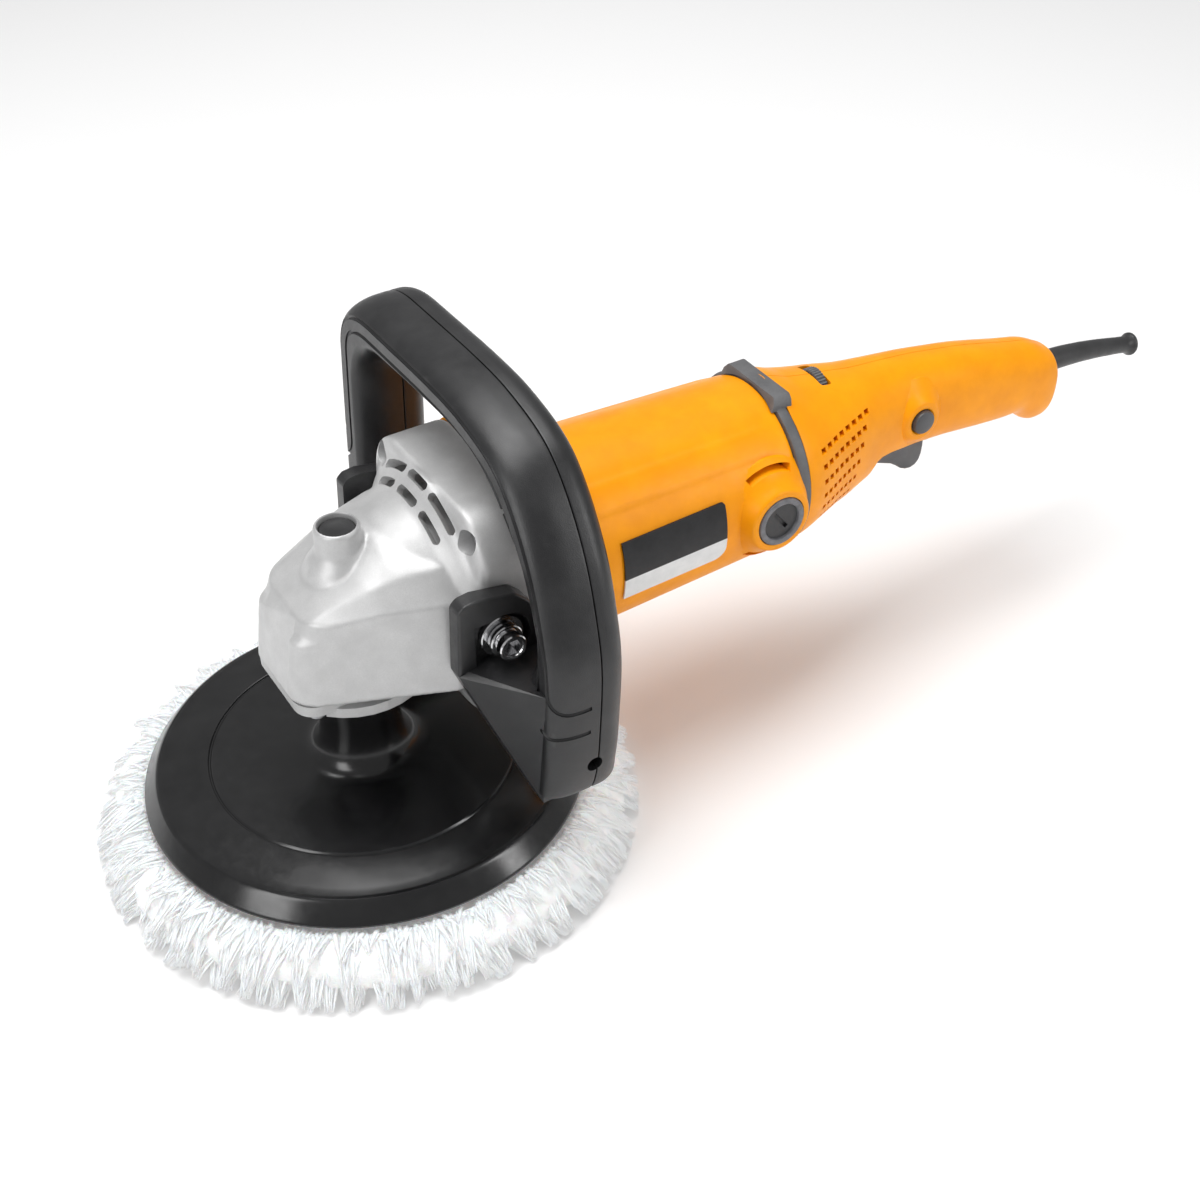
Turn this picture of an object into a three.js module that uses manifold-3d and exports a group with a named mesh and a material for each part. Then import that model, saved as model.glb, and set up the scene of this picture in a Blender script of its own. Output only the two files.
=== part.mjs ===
// Rotary polisher with a loop front handle, a 180 mm backing pad and a wool bonnet.
// Millimetres, +Z up along the spindle, origin at the centre of the bonnet's working face.
// +X runs back along the motor and rear handle; left is +Y and right is -Y.
import * as THREE from "three";
import { ConvexGeometry } from "three/addons/geometries/ConvexGeometry.js";
import { mergeVertices } from "three/addons/utils/BufferGeometryUtils.js";
import Module from "manifold-3d";

const wasm = await Module();
wasm.setup();

// ---- driving dimensions -------------------------------------------------------------------
const GAP = 0.3; // clearance between touching pieces

const PAD_RADIUS = 90; // standard 180 mm backing pad
const PAD_BOTTOM = 22.5;
const PAD_TOP = 35;
const NECK_RADIUS = 16;
const NECK_TOP = 72;
const BONNET_RADIUS = 109;

const MOTOR_Z = 105; // height of the armature axis
const PINION_Z = 120; // height of the bevel pinion shaft
const LOCK_RIM_Z = 144.6; // rim of the lock-button boss

const HEAD_BOTTOM = 84;
const HEAD_REAR = 63; // rear face of the gear housing's flange
const FLANGE_FRONT = 37;
const FLANGE_HALF_Y = 45;
const FLANGE_HALF_Z = 48;

const BARREL_FRONT = HEAD_REAR + GAP;
const BARREL_REAR = 187.2;
const BARREL_FRONT_RADIUS = 42.6;
const BARREL_REAR_RADIUS = 37.8;
const BARREL_WALL = 3;
const BRUSH_X = 173.5; // station of the carbon brushes

const HANDLE_FRONT = 193;
const HANDLE_REAR = 355;
const SHELL_WALL = 3;

// bevel pair: straight teeth, shafts at 90 degrees
const RING_TEETH = 24;
const PINION_TEETH = 8;
const RING_PITCH_RADIUS = 21;
const PINION_PITCH_RADIUS = (RING_PITCH_RADIUS * PINION_TEETH) / RING_TEETH;
const BEVEL_FACE = 0.3; // face width as a part of the cone distance
const BEVEL_ADDENDUM = 0.62; // in modules: short teeth with ample backlash
const BEVEL_DEDENDUM = 1.05;
const BEVEL_TOOTH_PART = 0.36; // share of the pitch that is tooth, at the pitch cone
const RING_TOOTH_PART = 0.3;
const PINION_FLANK = 0.7; // how much each flank leans in per mm of height
const RING_FLANK = 0.36;

// spur pair between the armature and the pinion shaft
const DRIVE_TEETH = 8;
const REDUCTION_TEETH = 26;
const SPUR_MODULE = (2 * (PINION_Z - MOTOR_Z)) / (DRIVE_TEETH + REDUCTION_TEETH);

const LOOP_FRONT = 38; // front face of the loop handle at the height LOOP_LEAN_Z
const LOOP_SPLIT = 58.5;
const LOOP_REAR = 70;
const LOOP_LEAN = 0.08; // the loop leans back by this much per mm of height
const LOOP_LEAN_Z = 60;
const BOLT_X = 40.3;
const BOLT_Z = 108.5;

// ---- solids -------------------------------------------------------------------------------
const X_AXIS = new THREE.Vector3(1, 0, 0);

// A closed three.js geometry as a solid that can be joined and cut.
function solid(geometry) {
  const bare = geometry.index ? geometry.toNonIndexed() : geometry.clone();
  for (const name of Object.keys(bare.attributes)) {
    if (name !== "position") bare.deleteAttribute(name);
  }
  const merged = mergeVertices(bare, 1e-4);
  return new wasm.Manifold(
    new wasm.Mesh({
      numProp: 3,
      vertProperties: new Float32Array(merged.attributes.position.array),
      triVerts: new Uint32Array(merged.index.array),
    }),
  );
}

function geometryOf(manifold) {
  const mesh = manifold.getMesh();
  const stride = mesh.numProp;
  const positions = new Float32Array((mesh.vertProperties.length / stride) * 3);
  for (let i = 0; i < positions.length / 3; i += 1) {
    for (let k = 0; k < 3; k += 1) {
      positions[3 * i + k] = mesh.vertProperties[stride * i + k];
    }
  }
  const geometry = new THREE.BufferGeometry();
  geometry.setAttribute("position", new THREE.BufferAttribute(positions, 3));
  geometry.setIndex(Array.from(mesh.triVerts));
  const flat = geometry.toNonIndexed();
  flat.computeVertexNormals();
  return flat;
}

function box(x0, x1, y0, y1, z0, z1) {
  const geometry = new THREE.BoxGeometry(x1 - x0, y1 - y0, z1 - z0);
  geometry.translate((x0 + x1) / 2, (y0 + y1) / 2, (z0 + z1) / 2);
  return solid(geometry);
}

// A round body about +Z from [radius, z] pairs that start and end on the axis.
function turnedZ(profile, segments = 24) {
  const points = profile.map(([r, z]) => new THREE.Vector2(r, z));
  const geometry = new THREE.LatheGeometry(points, segments);
  geometry.rotateX(Math.PI / 2);
  return geometry;
}

// The same about +X: [radius, x] pairs, on a line at height z and offset y.
function turnedX(profile, z, segments = 24, y = 0) {
  const geometry = turnedZ(profile, segments);
  geometry.rotateY(Math.PI / 2);
  geometry.translate(0, y, z);
  return geometry;
}

function barX(radius, x0, x1, z, segments = 24, y = 0) {
  return solid(turnedX([[0, x0], [radius, x0], [radius, x1], [0, x1]], z, segments, y));
}

function barY(radius, y0, y1, x, z, segments = 20) {
  const geometry = new THREE.CylinderGeometry(radius, radius, y1 - y0, segments);
  geometry.translate(x, (y0 + y1) / 2, z);
  return solid(geometry);
}

function barZ(radius, z0, z1, x = 0, y = 0, segments = 24) {
  const geometry = turnedZ([[0, z0], [radius, z0], [radius, z1], [0, z1]], segments);
  geometry.translate(x, y, 0);
  return solid(geometry);
}

function ringX(inner, outer, x0, x1, z, segments = 20) {
  return barX(outer, x0, x1, z, segments).subtract(barX(inner, x0 - 1, x1 + 1, z, segments));
}

function shapeOf(points) {
  return new THREE.Shape(points.map(([a, b]) => new THREE.Vector2(a, b)));
}

// A flat outline in (x, z), extruded from y0 to y1.
function plateY(shape, y0, y1, options = {}) {
  const geometry = new THREE.ExtrudeGeometry(shape, {
    depth: y1 - y0,
    bevelEnabled: false,
    curveSegments: 8,
    ...options,
  });
  geometry.rotateX(Math.PI / 2);
  geometry.translate(0, y1, 0);
  return geometry;
}

// A flat outline in (x, y), extruded from z0 to z1.
function plateZ(shape, z0, z1) {
  const geometry = new THREE.ExtrudeGeometry(shape, {
    depth: z1 - z0,
    bevelEnabled: false,
    curveSegments: 8,
  });
  geometry.translate(0, 0, z0);
  return geometry;
}

// A flat outline in (y, z), extruded from x0 to x1.
function plateX(shape, x0, x1, options = {}) {
  const geometry = new THREE.ExtrudeGeometry(shape, {
    depth: x1 - x0,
    bevelEnabled: false,
    curveSegments: 8,
    ...options,
  });
  geometry.applyMatrix4(
    new THREE.Matrix4().set(0, 0, 1, x0, 1, 0, 0, 0, 0, 1, 0, 0, 0, 0, 0, 1),
  );
  return geometry;
}

// A rectangle with round corners, centred on (cy, cz).
function roundedRectangle(halfWidth, halfHeight, corner, cy = 0, cz = 0) {
  const shape = new THREE.Shape();
  const [x0, x1] = [cy - halfWidth, cy + halfWidth];
  const [y0, y1] = [cz - halfHeight, cz + halfHeight];
  shape.moveTo(x0 + corner, y0);
  shape.lineTo(x1 - corner, y0);
  shape.absarc(x1 - corner, y0 + corner, corner, -Math.PI / 2, 0, false);
  shape.lineTo(x1, y1 - corner);
  shape.absarc(x1 - corner, y1 - corner, corner, 0, Math.PI / 2, false);
  shape.lineTo(x0 + corner, y1);
  shape.absarc(x0 + corner, y1 - corner, corner, Math.PI / 2, Math.PI, false);
  shape.lineTo(x0, y0 + corner);
  shape.absarc(x0 + corner, y0 + corner, corner, Math.PI, 1.5 * Math.PI, false);
  return shape;
}

// Rotates a solid's geometry about a line through a point.
function turned(manifold, axis, angle, x = 0, y = 0, z = 0) {
  const geometry = geometryOf(manifold);
  geometry.translate(-x, -y, -z);
  geometry.applyMatrix4(new THREE.Matrix4().makeRotationAxis(axis, angle));
  geometry.translate(x, y, z);
  return solid(geometry);
}

function mirroredY(manifold) {
  const geometry = geometryOf(manifold);
  geometry.rotateZ(Math.PI);
  // a half turn about Z followed by x -> -x is a mirror in y, with each face turned round again
  const positions = geometry.attributes.position;
  for (let i = 0; i < positions.count; i += 1) {
    positions.setX(i, -positions.getX(i));
  }
  for (let i = 0; i < positions.count; i += 3) {
    const [x, y, z] = [positions.getX(i + 1), positions.getY(i + 1), positions.getZ(i + 1)];
    positions.setXYZ(i + 1, positions.getX(i + 2), positions.getY(i + 2), positions.getZ(i + 2));
    positions.setXYZ(i + 2, x, y, z);
  }
  return solid(geometry);
}

// ---- materials ----------------------------------------------------------------------------
function material(color, roughness, metalness = 0) {
  return new THREE.MeshStandardMaterial({ color, roughness, metalness });
}

const castAluminium = material(0xd4d5d6, 0.45, 0.55);
const orangePlastic = material(0xffa200, 0.35);
const blackPlastic = material(0x26272a, 0.5);
const greyRubber = material(0x5a5d63, 0.7);
const darkRubber = material(0x2f3033, 0.75);
const padPlastic = material(0x121212, 0.25);
const steel = material(0xa8abb0, 0.3, 0.95);
const chrome = material(0xdcdfe3, 0.15, 1);
const copper = material(0xb46a3c, 0.4, 0.9);
const laminations = material(0x6f7276, 0.55, 0.7);
const brass = material(0xc9a24a, 0.35, 0.9);
const graphite = material(0x2a2a2c, 0.8);
const wool = material(0xf4f2ec, 0.95);
const hookFabric = material(0x1c1c1e, 0.95);
const label = material(0x151515, 0.4);

const group = new THREE.Group();
group.name = "rotary_polisher";

function add(name, manifold, meshMaterial) {
  const mesh = new THREE.Mesh(geometryOf(manifold), meshMaterial);
  mesh.name = name;
  group.add(mesh);
  return manifold;
}

// ---- working end --------------------------------------------------------------------------
add(
  "wool_bonnet",
  solid(
    turnedZ(
      [
        [0, 0], [100, 0], [106, 4], [BONNET_RADIUS, 11], [107, 18], [101, 21.5],
        [PAD_RADIUS + 1, 21.5], [PAD_RADIUS - 1, 19.4], [0, 19.4],
      ],
      48,
    ),
  ),
  wool,
);
add("hook_disc", solid(turnedZ([[0, 19.7], [86, 19.7], [86, 22.2], [0, 22.2]], 48)), hookFabric);

const NUT_RADIUS = 12;
const NUT_BOTTOM = 30;
const NUT_TOP = 62;
const padBody = solid(
  turnedZ(
    [
      [0, PAD_BOTTOM], [PAD_RADIUS, PAD_BOTTOM], [83.2, 31.9], [62.5, 34.2], [30, PAD_TOP],
      [21, 37], [NECK_RADIUS + 1, 42], [NECK_RADIUS, 48], [NECK_RADIUS, NECK_TOP], [0, NECK_TOP],
    ],
    48,
  ),
);
add(
  "backing_pad",
  padBody.subtract(barZ(NUT_RADIUS + GAP, NUT_BOTTOM - GAP, NECK_TOP + 1, 0, 0, 6)),
  padPlastic,
);
const THREAD_RADIUS = 7; // M14 spindle thread
add(
  "pad_nut",
  barZ(NUT_RADIUS, NUT_BOTTOM, NUT_TOP, 0, 0, 6).subtract(
    barZ(THREAD_RADIUS + GAP, NUT_BOTTOM - 1, NUT_TOP + 1),
  ),
  steel,
);

// ---- gear teeth ---------------------------------------------------------------------------
// Outline of a spur gear in its own plane: straight-flanked teeth with backlash.
function gearShape(teeth, pitchRadius, addendum, dedendum, toothPart, phase, flank = 0.42) {
  const pitch = (2 * Math.PI) / teeth;
  const points = [];
  for (let i = 0; i < teeth; i += 1) {
    const middle = phase + i * pitch;
    const half = (pitch * toothPart) / 2;
    const slope = flank / pitchRadius;
    const corners = [
      [pitchRadius - dedendum, -(half + dedendum * slope)],
      [pitchRadius + addendum, -(half - addendum * slope)],
      [pitchRadius + addendum, half - addendum * slope],
      [pitchRadius - dedendum, half + dedendum * slope],
    ];
    for (const [radius, angle] of corners) {
      points.push([radius * Math.cos(middle + angle), radius * Math.sin(middle + angle)]);
    }
  }
  return shapeOf(points);
}

const bevelModule = (2 * RING_PITCH_RADIUS) / RING_TEETH;
const RING_FACE_Z = PINION_Z - PINION_PITCH_RADIUS; // pitch plane of the ring gear's outer end

// Ring gear: a coned disc with its teeth on the upper face.
function ringGear() {
  const rootOuterZ = RING_FACE_Z - BEVEL_DEDENDUM * bevelModule;
  const inner = 1 - BEVEL_FACE;
  const rootInnerZ = PINION_Z + inner * (rootOuterZ - PINION_Z);
  let gear = solid(
    turnedZ(
      [
        [0, 99], [RING_PITCH_RADIUS, 99], [RING_PITCH_RADIUS + 0.2, 101],
        [RING_PITCH_RADIUS, rootOuterZ], [inner * RING_PITCH_RADIUS, rootInnerZ],
        [11.5, rootInnerZ], [11.5, rootInnerZ - 1.2], [0, rootInnerZ - 1.2],
      ],
      RING_TEETH,
    ),
  );
  const pitch = (2 * Math.PI) / RING_TEETH;
  for (let i = 0; i < RING_TEETH; i += 1) {
    const half = (RING_PITCH_RADIUS * pitch * RING_TOOTH_PART) / 2;
    const top = bevelModule * BEVEL_ADDENDUM;
    const root = -bevelModule * 1.3;
    const tooth = shapeOf([
      [-half + RING_FLANK * root, root],
      [half - RING_FLANK * root, root],
      [half - RING_FLANK * top, top],
      [-half + RING_FLANK * top, top],
    ]);
    const geometry = plateX(tooth, 0, 1);
    const positions = geometry.attributes.position;
    for (let k = 0; k < positions.count; k += 1) {
      const outer = positions.getX(k) > 0.5;
      const reach = outer ? 1 : inner;
      positions.setXYZ(
        k,
        RING_PITCH_RADIUS * reach,
        positions.getY(k) * reach,
        PINION_Z + (RING_FACE_Z + positions.getZ(k) - PINION_Z) * reach,
      );
    }
    geometry.rotateZ((i + 0.5) * pitch);
    gear = gear.add(solid(geometry));
  }
  return gear;
}

const SPINDLE_SEAT = 8;
add(
  "ring_gear",
  ringGear().subtract(barZ(SPINDLE_SEAT + GAP, 90, 130)),
  steel,
);

// The square socket in the spindle's top end takes the lock pin at every quarter turn.
const SOCKET_HALF = 2.3;
const SPINDLE_TOP = 131.3;
add(
  "spindle",
  solid(
    turnedZ([
      [0, 40], [THREAD_RADIUS, 40], [THREAD_RADIUS, 66], [8.2, 66], [8.2, 98.7],
      [SPINDLE_SEAT, 98.7], [SPINDLE_SEAT, 113], [5.5, 114], [5.5, SPINDLE_TOP], [0, SPINDLE_TOP],
    ]),
  ).subtract(box(-SOCKET_HALF, SOCKET_HALF, -SOCKET_HALF, SOCKET_HALF, 126.5, SPINDLE_TOP + 1)),
  steel,
);

const LOWER_BEARING_Z = 85;
add(
  "spindle_bearing_lower",
  barZ(19, LOWER_BEARING_Z, 98.4).subtract(barZ(8.2 + GAP, 80, 100)),
  steel,
);
add(
  "spindle_bearing_upper",
  barZ(8, 122.7, 129.4).subtract(barZ(5.5 + GAP, 120, 140)),
  steel,
);

// ---- gear housing -------------------------------------------------------------------------
// Plan: a blunt nose that widens to the flange.
const headPlan = shapeOf([
  [-34, -21.5], [24, -FLANGE_HALF_Y], [40, -FLANGE_HALF_Y],
  [40, FLANGE_HALF_Y], [24, FLANGE_HALF_Y], [-34, 21.5],
]);
// Side view: leaning nose, step, sloping deck up to the rear shoulder.
const headSide = shapeOf([
  [-33.2, HEAD_BOTTOM], [40, HEAD_BOTTOM], [40, 139.2], [12, 139.2],
  [-24.3, 118], [-26.3, 111.6], [-29.4, 110.3],
]);
// Bell-shaped shoulder between the deck and the flange, about the motor axis.
const bell = turnedX(
  [
    [0, 5], [30, 5], [35.5, 16], [38, 22], [40, 27], [44, 31.5], [48, 35],
    [49, FLANGE_FRONT], [49, 41], [0, 41],
  ],
  MOTOR_Z,
  32,
);
const flangeShape = roundedRectangle(FLANGE_HALF_Y, FLANGE_HALF_Z, 20, 0, MOTOR_Z);
let head = solid(plateZ(headPlan, HEAD_BOTTOM, 145))
  .intersect(solid(plateY(headSide, -50, 50)))
  .add(solid(bell).intersect(box(0, 50, -FLANGE_HALF_Y, FLANGE_HALF_Y, HEAD_BOTTOM, 160)))
  .add(solid(plateX(flangeShape, FLANGE_FRONT, HEAD_REAR)))
  .add(barZ(9.1, 120, LOCK_RIM_Z))
  .add(solid(turnedZ([[0, 118], [14, 118], [12, 130], [9.1, 135], [0, 135]])));

// Side chamfers of the deck: planes that rise from the nose's edge towards the shoulder.
for (const side of [-1, 1]) {
  const slab = box(-60, 60, 0, 40, 0, 40);
  const tilted = turned(slab, X_AXIS, Math.PI / 4);
  const geometry = geometryOf(tilted);
  geometry.rotateZ(Math.atan2(19.5, 50.5));
  geometry.rotateY(-0.07);
  geometry.translate(0, 31, 121.5);
  let cutter = solid(geometry).intersect(box(-40, 26, 0, 60, 112, 150));
  if (side < 0) cutter = mirroredY(cutter);
  head = head.subtract(cutter);
}

// The part of a round body that lies between two angles from the vertical about the motor axis.
function sector(manifold, from, to) {
  const reach = 80;
  const corner = (degrees) => [
    reach * Math.sin((degrees * Math.PI) / 180),
    MOTOR_Z + reach * Math.cos((degrees * Math.PI) / 180),
  ];
  const wedge = shapeOf([[0, MOTOR_Z], corner(to), corner(from)]);
  return manifold.intersect(solid(plateX(wedge, 0, 100)));
}

const GEAR_CHAMBER_FRONT = 41;
// Cooling-air duct under the shoulder: it follows the bell, 3 mm below its surface.
const DUCT_FLOOR_RADIUS = 36;
const DUCT_HALF_ANGLE = 37;
const duct = sector(
  solid(
    turnedX(
      [
        [0, 28], [36.6, 28], [41.6, 33.6], [44.9, 37.1], [44.9, HEAD_REAR + 1],
        [0, HEAD_REAR + 1],
      ],
      MOTOR_Z,
      48,
    ),
  ).subtract(barX(DUCT_FLOOR_RADIUS, 20, 70, MOTOR_Z, 48)),
  -DUCT_HALF_ANGLE,
  DUCT_HALF_ANGLE,
);
head = head
  // spindle chamber, narrowing to the upper bearing and the lock pin's guide
  .subtract(
    solid(
      turnedZ([
        [0, 83], [22.6, 83], [22.6, 114.4], [15.5, 118.2], [9.5, 122.4], [8 + GAP, 122.4],
        [8 + GAP, 129.7], [6.2, 129.7], [6.2, 131.8], [0, 131.8],
      ]),
    ),
  )
  // pinion chamber and the seat of its front bearing
  .subtract(barX(9.5, 6, 30, PINION_Z))
  .subtract(barX(13 + GAP, 28.2, GEAR_CHAMBER_FRONT + 1, PINION_Z))
  // chamber of the spur gears
  .subtract(barX(14.2, GEAR_CHAMBER_FRONT, HEAD_REAR + 1, PINION_Z))
  .subtract(barX(13, GEAR_CHAMBER_FRONT, HEAD_REAR + 1, MOTOR_Z))
  .subtract(duct);

// Two rows of air slots through the shoulder, three arcs in each row.
const SLOT_HALF_WIDTH = 1.8;
const SLOT_DEPTH = 5;
const SLOT_ROWS = [
  { x: 29.2, radius: 41.8, arcs: [[-36, -15], [-10, 10], [15, 36]] },
  { x: 34.4, radius: 46.9, arcs: [[-36, -12], [-8.5, 8.5], [12, 36]] },
];
for (const { x, radius, arcs } of SLOT_ROWS) {
  const corner = (across, out) => [
    radius + (across * SLOT_HALF_WIDTH + out) * Math.SQRT1_2,
    x + (across * SLOT_HALF_WIDTH - out) * Math.SQRT1_2,
  ];
  const profile = [
    corner(-1, -SLOT_DEPTH), corner(-1, SLOT_DEPTH), corner(1, SLOT_DEPTH),
    corner(1, -SLOT_DEPTH), corner(-1, -SLOT_DEPTH),
  ];
  for (const [from, to] of arcs) {
    head = head.subtract(sector(solid(turnedX(profile, MOTOR_Z, 60)), from, to));
  }
}

// Spindle lock: a button in the boss, on a square pin that cannot turn in the housing.
const BUTTON_RADIUS = 7;
const PIN_HALF = 2;
const BOSS_FLOOR = 136;
head = head
  .subtract(barZ(BUTTON_RADIUS + GAP, BOSS_FLOOR, LOCK_RIM_Z + 1))
  .subtract(
    box(-PIN_HALF - GAP, PIN_HALF + GAP, -PIN_HALF - GAP, PIN_HALF + GAP, 131, BOSS_FLOOR + 1),
  );

// Screw pockets: four long screws through the flange's corners.
const FLANGE_SCREWS = [[-35, 143.5], [35, 143.5], [-35, 66.5], [35, 66.5]];
const SCREW_RADIUS = 2.2;
const SCREW_HEAD_RADIUS = 4;
for (const [y, z] of FLANGE_SCREWS) {
  head = head
    .subtract(barX(SCREW_HEAD_RADIUS + 0.8, 20, 44, z, 12, y))
    .subtract(barX(SCREW_RADIUS + GAP, 40, HEAD_REAR + 1, z, 8, y));
}
// Tapped bosses for the retainer's screws and for the two loop-handle bolts.
const RETAINER_SCREWS = [[-24.5, -19], [-24.5, 19], [24, -27], [24, 27]];
for (const [x, y] of RETAINER_SCREWS) {
  head = head.subtract(barZ(1.8 + GAP, 80, 95, x, y, 8));
}
for (const side of [-1, 1]) {
  const [y0, y1] = side < 0 ? [-50, -24] : [24, 50];
  head = head.subtract(barY(4 + GAP, y0, y1, BOLT_X, BOLT_Z, 16));
}
add("gear_housing", head, castAluminium);

FLANGE_SCREWS.forEach(([y, z], index) => {
  const screw = barX(SCREW_HEAD_RADIUS, 40.5, 43.7, z, 12, y)
    .add(barX(SCREW_RADIUS, 43.5, 72, z, 8, y))
    .subtract(box(39, 42, y - 2.6, y + 2.6, z - 0.5, z + 0.5))
    .subtract(box(39, 42, y - 0.5, y + 0.5, z - 2.6, z + 2.6));
  add(`flange_screw_${index + 1}`, screw, steel);
});

// Retainer plate under the head: a square-shouldered plate with a round lip round the spindle.
const retainerPlate = roundedRectangle(32, 24, 9, 0, 0);
const RETAINER_TOP = HEAD_BOTTOM - GAP;
let retainer = solid(plateZ(retainerPlate, 79, RETAINER_TOP))
  .add(barZ(30.5, 75.5, 80, 0, 0, 32))
  .add(box(18, 30, -31, 31, 79, RETAINER_TOP))
  .subtract(barZ(NECK_RADIUS + 1.5, 70, 78, 0, 0, 24))
  .subtract(barZ(9.2, 70, 90));
for (const [x, y] of RETAINER_SCREWS) {
  retainer = retainer
    .subtract(barZ(1.8 + GAP, 70, 90, x, y, 8))
    .subtract(barZ(3.6, 70, 79.6, x, y, 12));
}
add("bearing_retainer", retainer, castAluminium);
RETAINER_SCREWS.forEach(([x, y], index) => {
  const screw = barZ(3.2, 76.6, 79.3, x, y, 12)
    .add(barZ(1.8, 79, 93, x, y, 8))
    .subtract(box(x - 2.2, x + 2.2, y - 0.45, y + 0.45, 75, 77.8))
    .subtract(box(x - 0.45, x + 0.45, y - 2.2, y + 2.2, 75, 77.8));
  add(`retainer_screw_${index + 1}`, screw, steel);
});

const BUTTON_BOTTOM = 139.4;
add(
  "spindle_lock_button",
  solid(
    turnedZ([
      [0, BUTTON_BOTTOM], [BUTTON_RADIUS, BUTTON_BOTTOM], [BUTTON_RADIUS, 142], [6, 142.8],
      [0, 143],
    ]),
  )
    .subtract(barZ(6, BUTTON_BOTTOM - 1, 141.6))
    .add(barZ(3.9, BUTTON_BOTTOM, 142))
    .subtract(
      box(-PIN_HALF - GAP, PIN_HALF + GAP, -PIN_HALF - GAP, PIN_HALF + GAP, 139, 141.3),
    ),
  blackPlastic,
);
add(
  "spindle_lock_pin",
  box(-PIN_HALF, PIN_HALF, -PIN_HALF, PIN_HALF, SPINDLE_TOP + GAP, 141),
  steel,
);

// A round-wire helix about +Z, made as one swept solid.
class Helix extends THREE.Curve {
  constructor(radius, bottom, height, turns) {
    super();
    Object.assign(this, { radius, bottom, height, turns });
  }
  getPoint(t) {
    const angle = 2 * Math.PI * this.turns * t;
    return new THREE.Vector3(
      this.radius * Math.cos(angle),
      this.radius * Math.sin(angle),
      this.bottom + this.height * t,
    );
  }
}

function spring(radius, wire, bottom, height, turns) {
  const section = new THREE.Shape();
  section.absarc(0, 0, wire, 0, 2 * Math.PI, false);
  return new THREE.ExtrudeGeometry(section, {
    steps: Math.round(turns * 8),
    extrudePath: new Helix(radius, bottom, height, turns),
    curveSegments: 3,
    bevelEnabled: false,
  });
}
add("spindle_lock_spring", solid(spring(5, 0.4, 136.8, 4.2, 3)), steel);

// ---- gears, shafts and bearings -----------------------------------------------------------
function bevelPinion() {
  const shape = gearShape(
    PINION_TEETH, PINION_PITCH_RADIUS, bevelModule * BEVEL_ADDENDUM,
    bevelModule * BEVEL_DEDENDUM, BEVEL_TOOTH_PART, 0, PINION_FLANK,
  );
  const geometry = plateX(shape, 0, 1);
  const positions = geometry.attributes.position;
  for (let k = 0; k < positions.count; k += 1) {
    const reach = positions.getX(k) > 0.5 ? 1 : 1 - BEVEL_FACE;
    positions.setXYZ(
      k,
      RING_PITCH_RADIUS * reach,
      positions.getY(k) * reach,
      PINION_Z + positions.getZ(k) * reach,
    );
  }
  return solid(geometry);
}
add(
  "pinion_shaft",
  bevelPinion()
    .add(barX(4.8, RING_PITCH_RADIUS - 0.5, 28, PINION_Z))
    .add(barX(7.4, RING_PITCH_RADIUS + 1, 28, PINION_Z))
    .add(barX(6, 27, 52, PINION_Z))
    .add(barX(3.5, 51, 61.5, PINION_Z)),
  steel,
);
add("pinion_bearing_front", ringX(6 + GAP, 13, 28.5, 38, PINION_Z), steel);

const REDUCTION_RADIUS = (SPUR_MODULE * REDUCTION_TEETH) / 2;
const DRIVE_RADIUS = (SPUR_MODULE * DRIVE_TEETH) / 2;
// One tooth space of the big gear faces straight down, where a tooth of the small one stands up.
const reductionShape = gearShape(
  REDUCTION_TEETH, REDUCTION_RADIUS, SPUR_MODULE * 0.8, SPUR_MODULE, 0.42,
  -Math.PI / 2 + Math.PI / REDUCTION_TEETH,
);
const reductionGeometry = plateX(reductionShape, 43.5, 51);
reductionGeometry.translate(0, 0, PINION_Z);
add(
  "reduction_gear",
  solid(reductionGeometry).subtract(barX(6 + GAP, 40, 60, PINION_Z)),
  steel,
);
add("pinion_bearing_rear", ringX(3.5 + GAP, 6.5, 55.5, 61.5, PINION_Z), steel);

const driveGeometry = plateX(
  gearShape(DRIVE_TEETH, DRIVE_RADIUS, SPUR_MODULE * 0.8, SPUR_MODULE, 0.42, Math.PI / 2), 43.2, 52,
);
driveGeometry.translate(0, 0, MOTOR_Z);
const ARMATURE_RADIUS = 4;
const REAR_BEARING_X = 189;
add(
  "armature_shaft",
  solid(driveGeometry)
    .add(barX(3, 51, 64, MOTOR_Z, 24))
    .add(barX(ARMATURE_RADIUS, 63.5, REAR_BEARING_X - 1, MOTOR_Z, 24))
    .add(barX(3, REAR_BEARING_X - 2, REAR_BEARING_X + 8, MOTOR_Z, 24)),
  steel,
);
add("armature_bearing_front", ringX(3 + GAP, 6.5, 55.5, 61.5, MOTOR_Z), steel);
add("armature_bearing_rear", ringX(3 + GAP, 9.5, REAR_BEARING_X, REAR_BEARING_X + 7, MOTOR_Z), steel);

// Inner plate: closes the gear chamber and carries the two small bearings in a forward boss.
const PLATE_RADIUS = 39.2;
add(
  "gearcase_plate",
  barX(PLATE_RADIUS, HEAD_REAR + GAP, 67, MOTOR_Z, 28)
    .add(barX(9, 54.5, 64, PINION_Z, 20))
    .add(barX(9, 54.5, 64, MOTOR_Z, 20))
    .subtract(barX(6.5 + GAP, 50, 61.8, PINION_Z, 20))
    .subtract(barX(6.5 + GAP, 50, 61.8, MOTOR_Z, 20))
    .subtract(barX(ARMATURE_RADIUS + 0.6, 50, 70, MOTOR_Z, 16))
    .subtract(box(60, 70, -26, 26, 137, 146)),
  castAluminium,
);

// ---- motor --------------------------------------------------------------------------------
const CORE_FRONT = 90;
const CORE_REAR = 136;
const CORE_RADIUS = 20.5;
const STATOR_INNER = 21.3;
const STATOR_OUTER = 36.4;

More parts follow.
